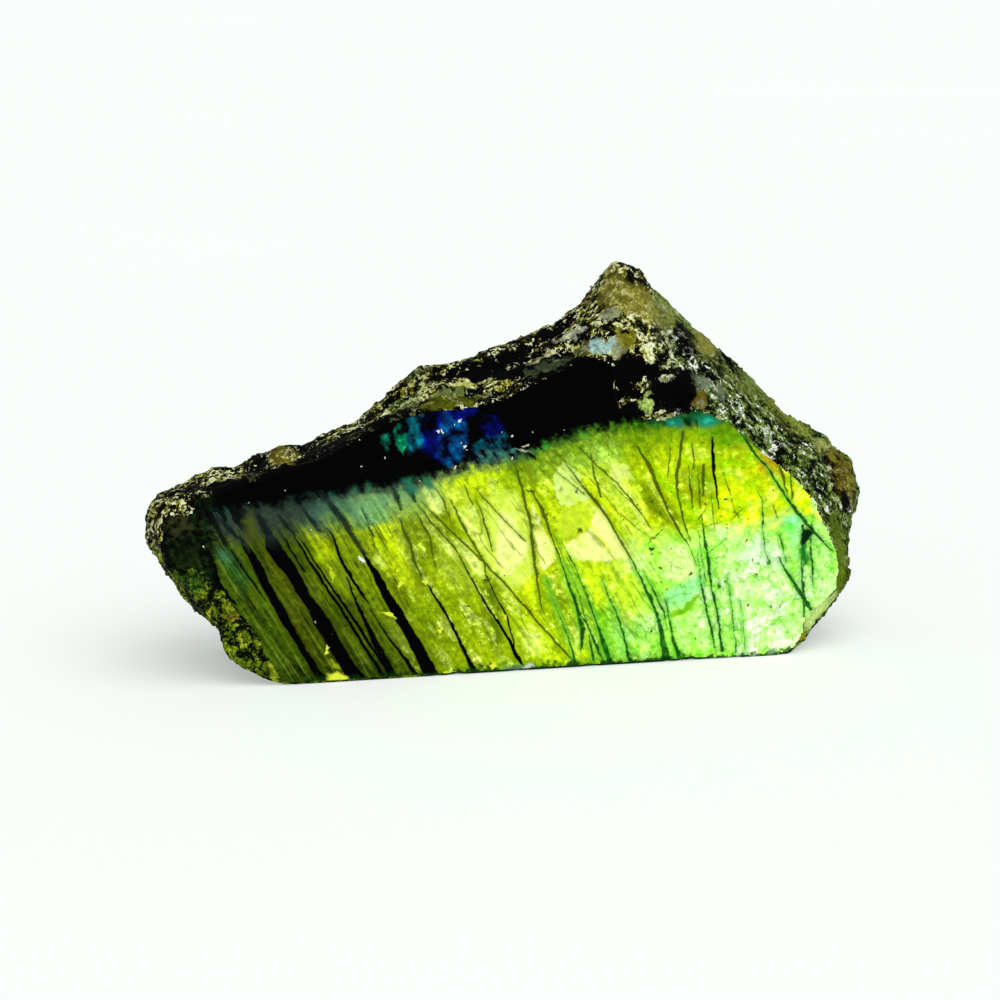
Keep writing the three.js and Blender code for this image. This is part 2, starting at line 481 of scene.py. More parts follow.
def finished(name, build, glow=0.0):
    """A material. Its builder gives back its colour, roughness, normal and shine."""
    material = bpy.data.materials.new(name)
    material.use_nodes = True
    shader = Shader(material.node_tree)
    colour, roughness, normal, shine = build(shader)
    surface = {"Base Color": colour, "Roughness": roughness, "Normal": normal, "Specular IOR Level": shine}
    surface |= {"Emission Color": GLOW_COLOUR, "Emission Strength": glow}
    bsdf = shader.node("ShaderNodeBsdfPrincipled", inputs=surface)
    shader.node("ShaderNodeOutputMaterial", inputs={"Surface": bsdf})
    return material


def set_stops(ramp, stops):
    while len(ramp.elements) < len(stops):
        ramp.elements.new(1)
    for element, (position, colour) in zip(ramp.elements, stops):
        element.position = position
        element.color = colour


def set_points(mapping, points):
    mapping.use_clip = False
    curve = mapping.curves[0]
    while len(curve.points) < len(points):
        curve.points.new(1, 1)
    for point, place in zip(curve.points, sorted(points)):
        point.location = place
        point.handle_type = "VECTOR"
    mapping.update()


def paint(red, green, blue):
    """A colour as it shows, each part from 0 to 255, turned into the shader's light values."""
    shown = [part / 255 for part in (red, green, blue)]
    light = [v / 12.92 if v <= 0.04045 else ((v + 0.055) / 1.055) ** 2.4 for v in shown]
    return (*light, 1)


BLACK = paint(0, 0, 0)
SOOT = paint(13, 17, 6)
GOLDEN_OLIVE = paint(165, 184, 8)
LIME = paint(192, 216, 16)
BRIGHT_LIME = paint(214, 238, 60)
PALE_LIME = paint(228, 246, 124)
LEMON = paint(248, 255, 152)
PALE_MINT = paint(218, 254, 168)
MINT = paint(182, 250, 136)
MINT_WHITE = paint(230, 255, 210)
AQUA = paint(138, 244, 176)
GOLD = paint(228, 238, 6)
ORANGE = paint(186, 152, 8)
LEAF = paint(112, 178, 8)
DEEP_GREEN = paint(2, 66, 6)
SLATE = paint(48, 58, 56)
SAGE = paint(114, 164, 106)
NAVY = paint(4, 10, 96)
BLUE = paint(4, 62, 112)
TEAL_BLUE = paint(8, 88, 100)
# White for small chips and for the painted highlights of the glints.
CHIP_AND_GLINT_WHITE = paint(235, 240, 225)
YELLOW_FLAKE = paint(226, 236, 60)
CREAM = paint(226, 230, 176)
SILVER = paint(196, 206, 190)
SILK = paint(112, 138, 34)
DARK_THREAD = paint(18, 30, 4)
SHADE = paint(196, 206, 120)
PALE_SHADE = paint(206, 236, 160)
HAIRLINE = paint(112, 130, 6)
UNDER_BLACK = paint(108, 144, 6)
FOOT_GREEN = paint(44, 62, 4)
SLATE_DARK = paint(16, 26, 26)
DARK_CRACK = paint(66, 80, 4)
LEAF_GLOW = paint(90, 190, 50)
MIST = paint(58, 84, 72)
GILT = paint(242, 250, 96)
CRAZED_LIME = paint(160, 226, 60)
FOOT_LEAF = paint(84, 150, 8)
WARM_MOTTLE = paint(232, 240, 96)
MINT_MOTTLE = paint(196, 252, 116)
GREEN_HAIRLINE = paint(92, 180, 46)
CRAZING_GREEN = paint(104, 196, 54)
SPECK = paint(50, 92, 4)
VEIN_GREEN = paint(16, 116, 8)
BLUE_GLEAM = paint(60, 226, 226)
CLOUD_BROWN = paint(54, 52, 26)
# The dark of the foot line on the polish, partly painted contact shadow.
SEAM_AND_SHADOW_DARK = paint(4, 44, 10)
SEAM_OLIVE = paint(70, 84, 6)
PIT = paint(40, 74, 4)

# Colours for a share of the width, or for noise, each as stops of (value, colour).
FRINGE = [(0.14, SLATE), (0.19, SLATE), (0.22, paint(62, 102, 88)), (0.25, paint(70, 118, 92)), (0.28, SAGE),
          (0.4, SAGE)]
TOP_EDGE = [(0.3, MIST), (0.46, MIST), (0.52, paint(24, 84, 30)), (0.62, paint(40, 96, 10))]
PALE_ALONG = [(0.4, PALE_LIME), (0.62, PALE_LIME), (0.72, PALE_MINT), (0.85, MINT_WHITE)]
CLEAVED = [(0.15, paint(176, 250, 96)), (0.4, paint(196, 253, 132)), (0.58, paint(218, 254, 176)),
           (0.78, paint(238, 255, 220))]
SPARKLE = [(0.38, paint(20, 20, 60)), (0.46, paint(170, 170, 190)), (0.56, paint(255, 255, 255))]
DULL_CORNER = [(0.42, BLACK), (0.52, paint(8, 16, 6)), (0.66, paint(24, 48, 16))]

# ---------------------------------------------------------------- the polished front

# The flash's own colour where each leaning crack line meets the base: (across at the base, colour).
ALONG_BASE = [(8, paint(34, 48, 6)), (17, paint(68, 92, 10)), (21, paint(72, 94, 6)), (25, paint(70, 88, 5)),
              (29, paint(76, 94, 6)), (33, paint(92, 112, 6)), (37, paint(130, 154, 6)),
              (43, paint(160, 186, 6)), (48, paint(176, 204, 8)), (53, paint(200, 224, 12)),
              (58, paint(208, 236, 18)), (63, paint(204, 240, 26)), (68, paint(200, 248, 80)),
              (75, paint(204, 253, 124)), (86, paint(204, 252, 146)), (95, paint(136, 218, 46))]

# Where the flash stops and the stone above it stays black: (across, up).
FLASH_TOP = [(0, 22.0), (6, 23.6), (12, 23.9), (16, 24.0), (18.5, 24.3), (21, 24.9), (24, 25.0), (25.6, 25.7),
             (31, 26.0), (34, 26.5), (38, 27.1), (41, 28.0), (45, 28.6), (48.5, 29.1), (50.5, 30.2),
             (54, 31.3), (58, 32.2), (64, 32.3), (67, 32.9), (71, 33.2), (76, 32.6), (96, 30)]

# Bands and cracks, each from one end to the other: (across, up, half its width).
BLACK_VEINS = [
    [(6.0, 19.8, 0.2), (6.6, 18.4, 0.7), (7.4, 16.2, 0.8), (8.2, 14.0, 0.6), (9.5, 12.2, 0.4),
     (10.6, 11.0, 0.1)],
    [(10.0, 18.4, 0.05), (11.3, 16.0, 0.12), (12.6, 14.0, 0.12), (14.3, 11.4, 0.05)],
    [(11.2, 20.0, 0.1), (12.2, 18.2, 0.5), (13.3, 16.0, 0.6), (14.1, 14.0, 0.6), (15.1, 12.0, 0.56),
     (16.1, 10.0, 0.62), (17.1, 8.0, 0.55), (18.2, 6.0, 0.42), (19.3, 4.0, 0.45), (20.4, 2.0, 0.46),
     (21.4, 0.4, 0.6), (21.8, 0, 0.7)],
    [(13.8, 22.0, 0.1), (14.8, 20.2, 0.5), (15.6, 18.0, 1.05), (16.9, 16.0, 1.05), (18.2, 14.0, 0.85),
     (19.1, 12.0, 0.75), (20.5, 10.0, 0.9), (21.5, 8.0, 1.1), (22.6, 6.0, 1.0), (23.6, 4.0, 1.0),
     (24.7, 2.0, 1.05), (26.1, 0, 1.35)],
    [(16.2, 20.6, 0.04), (17.4, 18.2, 0.14), (19.4, 14.8, 0.1)],
    [(17.8, 19.9, 0.04), (18.6, 18.6, 0.14), (21.7, 13.3, 0.2), (25.1, 7.6, 0.2), (28.6, 1.6, 0.2),
     (29.4, 0, 0.3)],
    [(18.6, 19.5, 0.04), (19.5, 18.0, 0.1), (22.4, 13.3, 0.14), (25.9, 7.6, 0.2), (29.3, 2.0, 0.2),
     (30.3, 0, 0.2)],
    [(21.8, 20.8, 0.04), (22.9, 19.6, 0.14), (23.7, 17.0, 0.2), (25.1, 14.1, 0.22), (26.6, 11.6, 0.2),
     (27.6, 10.0, 0.04)],
    [(24.6, 14.0, 0.05), (25.8, 10.8, 0.14), (27.0, 7.8, 0.26), (28.4, 4.8, 0.42), (30.0, 1.4, 0.6),
     (30.6, 0, 0.7)],
    [(27.6, 9.6, 0.04), (30.0, 5.6, 0.12), (32.0, 2.8, 0.2), (33.8, 0, 0.4)],
    [(26.8, 17.0, 0.06), (27.3, 16.0, 0.25), (28.5, 14.0, 0.48), (29.4, 12.0, 0.6), (30.5, 10.0, 0.74),
     (31.6, 8.0, 0.76), (32.7, 6.0, 0.78), (33.8, 4.0, 0.86), (34.7, 2.0, 0.9), (35.7, 0, 1.0)],
    [(34.4, 13.2, 0.02), (35.3, 12.0, 0.1), (36.7, 9.7, 0.16), (38.2, 7.0, 0.18), (39.7, 3.6, 0.2),
     (41.4, 0, 0.42)],
    [(39.2, 16.0, 0.02), (40.5, 13.4, 0.06), (42.3, 9.9, 0.12), (44.3, 6.8, 0.18), (46.0, 4.0, 0.22),
     (47.0, 1.8, 0.3), (47.6, 0.8, 0.14)],
    [(42.7, 13.2, 0.1), (43.8, 10.8, 0.05), (45.2, 8.0, 0.1), (46.2, 5.0, 0.1), (46.6, 3.0, 0.1)],
    [(72.6, 30.2, 0.05), (72.8, 27.6, 0.2), (73.2, 23.6, 0.16), (73.7, 20.2, 0.02)],
]
# Dark slate streaks in the dull fringe under the black stone.
SLATE_VEINS = [
    [(21.5, 25.4, 0.1), (23.0, 23.2, 0.36), (24.6, 20.9, 0.4), (26.2, 18.2, 0.36), (27.0, 16.6, 0.2)],
    [(13.0, 23.8, 0.1), (14.0, 21.8, 0.4), (14.8, 20.0, 0.5)],
    [(18.8, 23.8, 0.05), (20.2, 21.6, 0.2), (21.4, 20.0, 0.1)],
    [(16.0, 22.6, 0.05), (17.4, 20.6, 0.3), (18.2, 19.6, 0.1)],
    [(26.8, 22.6, 0.04), (27.6, 20.6, 0.1), (28.2, 18.8, 0.04)],
    [(30.6, 25.6, 0.05), (31.2, 24.0, 0.3), (31.8, 22.2, 0.1)],
    [(32.4, 25.8, 0.1), (33.0, 24.4, 0.3), (33.6, 23.2, 0.1)],
    [(8.2, 23.0, 0.1), (9.6, 21.4, 0.3), (11.0, 19.6, 0.2)],
    [(10.6, 23.4, 0.1), (11.4, 22.0, 0.25), (12.2, 20.6, 0.1)],
]
GREEN_VEINS = [
    [(51.9, 17.4, 0.05), (53.6, 13.4, 0.08), (55.2, 9.4, 0.1), (56.4, 4.6, 0.1), (57.0, 0.8, 0.2)],
    [(53.4, 15.0, 0.04), (55.4, 11.0, 0.08), (57.2, 6.6, 0.1), (58.6, 2.0, 0.16)],
    [(50.6, 12.4, 0.03), (52.0, 8.4, 0.06), (53.6, 4.2, 0.08), (54.6, 0.8, 0.16)],
    [(63.4, 12.6, 0.03), (64.8, 10.4, 0.1), (66.4, 7.0, 0.1), (67.0, 4.4, 0.05)],
    [(70.6, 19.0, 0.03), (71.2, 16.6, 0.08), (71.7, 13.2, 0.08), (72.2, 10.2, 0.04)],
    [(76.8, 8.0, 0.03), (77.4, 4.4, 0.06), (77.8, 0.6, 0.08)],
    [(51.2, 18.2, 0.12), (52.6, 14.5, 0.16), (53.8, 11.0, 0.2), (54.8, 8.0, 0.2), (55.5, 5.2, 0.38),
     (55.4, 2.2, 0.1)],
    [(52.3, 17.8, 0.08), (54.3, 14.0, 0.12), (56.0, 10.0, 0.14), (57.6, 5.5, 0.2), (59.3, 0.6, 0.4)],
    [(54.8, 8.0, 0.05), (56.2, 5.6, 0.2), (57.6, 2.4, 0.2), (58.4, 0.6, 0.12)],
    [(58.0, 11.8, 0.04), (59.4, 8.6, 0.1), (60.6, 5.8, 0.14), (61.5, 2.2, 0.16), (61.9, 0.5, 0.2)],
    [(62.0, 14.2, 0.12), (63.2, 11.7, 0.2), (64.6, 9.0, 0.26), (65.7, 6.2, 0.26), (66.4, 3.2, 0.36),
     (66.9, 0.4, 0.6)],
    [(66.6, 8.6, 0.05), (67.3, 5.6, 0.12), (67.7, 3.6, 0.2), (68.7, 0.5, 0.4)],
    [(71.4, 19.7, 0.08), (71.9, 16.5, 0.2), (72.5, 12.8, 0.26), (73.0, 9.5, 0.2), (73.8, 6.0, 0.14),
     (74.6, 1.0, 0.24)],
    [(71.0, 15.0, 0.05), (71.4, 11.0, 0.1), (72.0, 8.0, 0.18), (72.9, 4.5, 0.18), (73.6, 1.5, 0.16)],
    [(75.0, 11.4, 0.05), (75.6, 8.0, 0.06), (76.2, 3.0, 0.06), (76.6, 0.6, 0.12)],
    [(79.7, 20.8, 0.1), (79.8, 17.0, 0.1), (80.3, 14.0, 0.08), (80.8, 12.8, 0.12)],
    [(85.3, 17.6, 0.16), (85.3, 12.0, 0.16), (85.6, 8.2, 0.24), (85.8, 5.0, 0.1)],
    [(86.7, 19.0, 0.08), (86.3, 16.6, 0.1), (86.7, 12.0, 0.16), (86.9, 9.2, 0.05)],
    [(82.0, 13.4, 0.1), (83.5, 11.0, 0.28), (85.0, 8.6, 0.36), (86.2, 6.6, 0.36), (87.2, 5.3, 0.2)],
    [(82.0, 16.8, 0.06), (82.6, 14.6, 0.1), (83.2, 12.6, 0.05)],
    [(76.3, 30.8, 0.25), (78.0, 28.0, 0.24), (80.2, 25.5, 0.2), (82.6, 21.9, 0.24), (84.6, 19.2, 0.36),
     (86.8, 16.6, 0.3), (89.4, 13.8, 0.12)],
]
OLIVE_CRACKS = [
    [(31.5, 21.4, 0.08), (32.1, 19.5, 0.16), (32.9, 17.8, 0.2), (33.5, 15.2, 0.16), (34.4, 13.2, 0.2)],
    [(36.2, 24.9, 0.06), (37.3, 23.0, 0.14), (37.8, 21.5, 0.1), (38.1, 20.3, 0.06)],
    [(38.0, 23.4, 0.06), (39.3, 20.8, 0.14), (41.0, 17.5, 0.16), (42.4, 15.0, 0.16), (42.9, 12.8, 0.1)],
    [(33.6, 22.0, 0.06), (34.8, 19.8, 0.16), (35.5, 18.6, 0.14), (35.8, 16.2, 0.08), (36.3, 14.0, 0.05)],
    [(33.5, 23.4, 0.12), (36.0, 20.0, 0.16), (38.8, 16.9, 0.14), (40.2, 14.0, 0.14)],
    [(34.0, 23.6, 0.06), (38.0, 19.4, 0.16), (42.5, 14.8, 0.2), (46.0, 11.0, 0.16), (50.0, 6.0, 0.2),
     (54.8, 0.4, 0.22)],
    [(41.5, 23.2, 0.08), (42.3, 21.0, 0.12), (43.0, 18.5, 0.12), (43.6, 16.2, 0.06)],
    [(41.4, 24.6, 0.08), (44.0, 21.5, 0.12), (46.5, 18.8, 0.1), (48.0, 17.3, 0.08)],
    [(40.0, 25.2, 0.06), (40.6, 23.5, 0.1), (41.1, 22.4, 0.05)],
    [(46.5, 27.8, 0.06), (47.3, 24.6, 0.2), (47.9, 22.0, 0.16), (48.7, 19.6, 0.18), (48.9, 16.8, 0.22),
     (49.2, 14.0, 0.2), (49.7, 10.8, 0.14), (50.1, 8.0, 0.08)],
    [(48.6, 24.2, 0.1), (50.0, 21.6, 0.22), (51.0, 18.8, 0.2), (51.4, 17.6, 0.14)],
    [(52.2, 28.6, 0.06), (55.0, 24.8, 0.14), (57.3, 22.0, 0.26), (58.7, 20.0, 0.18), (60.2, 17.4, 0.16),
     (62.0, 14.2, 0.16)],
    [(51.5, 26.8, 0.06), (55.7, 23.1, 0.1)],
    [(54.6, 29.6, 0.06), (57.2, 27.0, 0.16), (60.0, 24.4, 0.14), (62.6, 21.2, 0.14), (64.6, 18.2, 0.06)],
    [(56.4, 28.6, 0.05), (57.2, 25.0, 0.16), (57.8, 22.6, 0.1)],
    [(62.6, 29.2, 0.16), (64.0, 27.0, 0.26), (65.3, 24.0, 0.26), (66.8, 20.5, 0.2), (68.2, 18.0, 0.2),
     (69.8, 15.5, 0.08), (70.9, 12.8, 0.06)],
    [(68.7, 31.0, 0.16), (68.5, 28.5, 0.2), (68.0, 25.5, 0.22), (68.1, 22.5, 0.16), (68.9, 19.2, 0.14),
     (69.9, 16.2, 0.05)],
    [(69.5, 26.4, 0.06), (69.9, 23.0, 0.14), (70.2, 20.4, 0.08)],
    [(71.6, 26.4, 0.16), (71.5, 24.0, 0.24), (71.5, 22.0, 0.06)],
    [(67.2, 30.6, 0.03), (66.9, 27.0, 0.08), (66.8, 24.0, 0.05)],
    [(69.9, 29.4, 0.04), (70.2, 26.8, 0.1), (70.0, 24.6, 0.05)],
    [(70.8, 25.8, 0.04), (71.0, 22.6, 0.08), (71.2, 20.4, 0.04)],
    [(72.6, 22.4, 0.04), (73.0, 19.4, 0.08), (73.2, 17.4, 0.03)],
    [(74.2, 25.2, 0.03), (75.2, 22.4, 0.06), (75.8, 20.2, 0.03)],
    [(59.0, 24.6, 0.03), (61.2, 22.4, 0.08), (63.4, 20.6, 0.04)],
    [(60.4, 20.4, 0.03), (62.6, 18.4, 0.08), (64.8, 16.8, 0.04)],
    [(75.4, 18.7, 0.05), (76.2, 19.5, 0.14), (77.0, 20.3, 0.04)],
    [(76.7, 18.8, 0.05), (76.2, 19.5, 0.1), (75.6, 20.4, 0.04)],
    [(70.8, 18.9, 0.04), (71.3, 19.5, 0.12), (71.9, 20.4, 0.04)],
    [(64.0, 16.0, 0.05), (65.0, 16.8, 0.12), (66.2, 18.0, 0.05)],
    [(79.0, 22.6, 0.06), (79.7, 20.8, 0.12)],
    [(81.0, 20.8, 0.08), (81.7, 18.6, 0.06)],
    [(83.2, 25.4, 0.06), (83.8, 21.6, 0.12), (83.7, 20.8, 0.06)],
    [(81.9, 25.6, 0.26), (82.4, 24.2, 0.2), (83.2, 21.4, 0.1)],
]

# Patches of the flash between the cracks: (softness, colour, outline).
PANELS = [
    (2.2, paint(134, 156, 10), [(19, 21), (38, 22), (38, 17), (34, 12), (22, 12)]),
    (2.0, paint(196, 222, 18), [(38, 24), (45, 25), (60, 28), (62, 14), (44, 12.4)]),
    (1.6, paint(196, 218, 6), [(60, 32.5), (76, 33), (84, 26), (86, 20.5), (80, 17.8), (68, 16.6), (61, 18)]),
    (0.8, paint(158, 176, 6), [(68.2, 26.5), (72.8, 26), (73.2, 22), (71.5, 20.5), (68.4, 22)]),
    (0.7, paint(150, 164, 8), [(62.5, 25), (66, 23), (69, 19), (68, 17.6), (64.5, 20)]),
    (0.9, GOLD, [(73.6, 24.2), (76.4, 23.4), (79.2, 23.4), (79.7, 20.2), (79, 17.6), (76, 16.8),
                 (73.9, 18.4)]),
    (0.9, paint(100, 166, 6), [(69, 33.5), (77, 32.5), (78.6, 29.2), (75, 28.8), (70, 30.4)]),
    (0.5, GOLD, [(83.4, 23.4), (86.2, 22), (86.4, 18.7), (84.8, 19), (83.3, 21)]),
    (0.6, ORANGE, [(78.6, 28), (81.5, 27), (83, 25), (81, 24), (79, 25.5)]),
    (1.0, paint(46, 84, 34), [(8.0, 18.8), (9.7, 18.8), (12.6, 14.2), (11.4, 12.6), (9.4, 14.6)]),
    (0.6, paint(58, 108, 72), [(8.3, 18.3), (9.4, 18.3), (10.2, 16.8), (9.3, 16.2)]),
    (0.7, paint(128, 182, 112), [(24.8, 23.4), (30, 23.8), (29.8, 20.8), (27, 20), (25.4, 21.4)]),
    (0.7, paint(78, 88, 6), [(13.4, 21), (15.2, 19.4), (19.2, 11.4), (22.6, 3.6), (23.6, 1), (20.6, 1),
                             (17.4, 8.4), (15, 14)]),
    (0.5, GOLDEN_OLIVE, [(20.0, 19.8), (22.0, 19.8), (23.9, 16.4), (20.8, 16.2)]),
    (0.4, PALE_LIME, [(28.4, 17.2), (29.8, 18.2), (31.2, 17.6), (31.1, 15.4), (29.6, 14.8), (28.5, 15.6)]),
    (0.7, LIME, [(26.6, 19.8), (31.0, 21.2), (32.0, 18.2), (33.2, 12.2), (30.6, 13.2)]),
    (0.5, PALE_LIME, [(33.8, 25.8), (36.2, 25.6), (37.3, 23), (37.2, 21.6), (35.5, 22)]),
    (0.5, BRIGHT_LIME, [(37.6, 24.8), (40.2, 24.8), (42.4, 20.2), (43.6, 16), (42.2, 15.6), (40.2, 18.8),
                        (38.2, 21.5)]),
    (0.5, PALE_LIME, [(38.6, 22), (41.2, 22.4), (42.8, 17.6), (42.4, 16), (40.4, 19)]),
    (0.4, PALE_LIME, [(38.2, 18), (39.8, 18), (42.6, 14.6), (42.6, 12.6), (40.8, 14)]),
    (1.0, paint(184, 206, 60), [(36.6, 18), (38.5, 17.6), (41.2, 12), (40.4, 10.4), (36.8, 14)]),
    (0.4, GOLD, [(43.0, 24.4), (44.9, 23.8), (45.4, 22.2), (44.2, 21.6), (43.2, 22.6)]),
    (0.3, PALE_LIME, [(42.8, 26), (43.9, 25.8), (43.8, 24.6), (43, 24.7)]),
    (1.0, paint(200, 230, 36), [(45.6, 9.5), (48.4, 7.2), (52, 2.4), (51, 1.2), (48, 1.4), (46.4, 4)]),
    (0.6, PALE_LIME, [(47.5, 5.6), (49.5, 4.6), (50.2, 2.8), (48.2, 2.4)]),
    (1.0, paint(154, 188, 6), [(49.6, 13.4), (53, 12), (54.8, 8), (55, 3), (52, 3.4), (50, 7), (49.4, 10)]),
    (0.9, paint(120, 146, 8), [(41.6, 12), (43.6, 12.4), (45.0, 8.4), (44.8, 3.4), (43.4, 3.4), (42.2, 7.4)]),
    (0.9, paint(130, 204, 30), [(56.6, 8.2), (59.8, 8.4), (61.2, 4.6), (60.6, 1), (57.4, 1)]),
    (1.0, paint(206, 240, 24), [(55.8, 13.4), (62.2, 14.4), (64.2, 9.5), (62.2, 7), (58.6, 9.6)]),
    (0.5, BRIGHT_LIME, [(58.4, 24), (62.4, 24.4), (64, 20), (63.6, 16.4), (61.6, 17.5)]),
    (1.0, paint(158, 236, 84), [(59.5, 5.5), (64, 6.4), (66, 3.4), (66.2, 0.8), (60, 0.8)]),
    (0.5, PALE_MINT, [(67.8, 5.8), (71.4, 7.4), (72.8, 2.0), (69.2, 1.4)]),
    (0.8, PALE_MINT, [(73.2, 18.2), (79.8, 17.2), (79.8, 13.6), (76, 12.6), (73.4, 14)]),
    (0.7, paint(220, 254, 188), [(74.6, 14), (79.6, 15.6), (82.2, 14.2), (84.8, 9.6), (85.6, 4), (84.6, 1),
                                 (77, 1), (75.4, 6)]),
    (1.2, paint(224, 255, 196), [(78.4, 8.8), (84.4, 9), (85.4, 4), (84.6, 1.2), (78, 1.2)]),
    (0.6, LEAF, [(82.2, 14.6), (84.6, 13.2), (85, 10.4), (83.4, 11.6)]),
    (0.4, AQUA, [(82.4, 18.8), (84.9, 18.8), (85.2, 15.5), (85.0, 12.4), (83.6, 14.6)]),
    (0.6, MINT, [(86.4, 16.2), (89.6, 13.4), (90, 9.6), (89, 7), (86.6, 7.4)]),
    (0.3, DEEP_GREEN, [(73.6, 9.4), (75.2, 10.6), (75, 9.8), (73.8, 9.0)]),
    (0.15, paint(60, 72, 4), [(70.2, 17.6), (72.4, 18.2), (74.9, 18.7), (72.4, 18.4)]),
]

# Clear patches with a crisp edge where the stone has cleaved: (softness, colour, outline).
CLEAR_PANELS = [
    (0.8, paint(224, 248, 92), [(41.8, 22.4), (43.4, 24.2), (46.6, 23.6), (48.2, 21), (49.4, 13), (46.4, 11),
                                (43.2, 13)]),
    (0.4, LEMON, [(44.4, 21.8), (46.2, 20.6), (47.6, 18.2), (48.4, 16.2), (47.2, 14.0), (45.4, 12.6),
                  (44.4, 14), (43.9, 17)]),
    (0.2, LEMON, [(48.7, 22.2), (49.8, 20.4), (51.2, 17.4), (52.2, 15.0), (50.6, 13.6), (49.6, 14.2),
                  (49.2, 18)]),
    (0.4, paint(204, 232, 44), [(52.6, 21.6), (55.8, 22), (57.1, 21), (55.8, 18.4), (53, 17), (52, 19)]),
    (0.15, LEMON, [(55.6, 17.4), (56.7, 19.6), (57.3, 21.9), (58.5, 20.6), (59.9, 18.1), (59, 16)]),
    (0.2, LEMON, [(52.9, 16.6), (55.6, 18.0), (58.4, 19.2), (59.8, 18.2), (61.7, 14.8), (57.5, 14.0),
                  (54.0, 14.7)]),
    (0.15, paint(226, 252, 140), [(51.6, 25.8), (53.0, 27.8), (54.4, 26.6), (55.4, 25.0), (56.8, 22.7),
                                  (54.5, 22.0), (52.2, 21.7)]),
    (0.7, paint(230, 252, 158), [(65.9, 15.4), (67.6, 15.8), (69.4, 15.9), (71.0, 12.6), (71.0, 11.6),
                                 (68.0, 10.8), (66.2, 11.8)]),
    (0.7, paint(164, 250, 158), [(66.6, 9.4), (69.0, 10.8), (71.6, 11.6), (71.8, 9.8), (69.6, 7.8),
                                 (67.2, 7.2)]),
    (0.25, paint(140, 202, 30), [(65.2, 5.5), (68.4, 6.3), (69.7, 7.6), (67.4, 7.0)]),
    (0.2, paint(130, 194, 24), [(68.3, 6.3), (70.2, 7.1), (71.8, 9.4), (69.4, 7.9)]),
    (0.5, PALE_LIME, [(59.2, 27.0), (61.4, 26.6), (61.8, 25), (60, 24.4), (59, 25.2)]),
    (0.6, MINT_WHITE, [(76.2, 13.6), (78.8, 16.4), (81.8, 15), (82.6, 12), (79, 12.4)]),
]

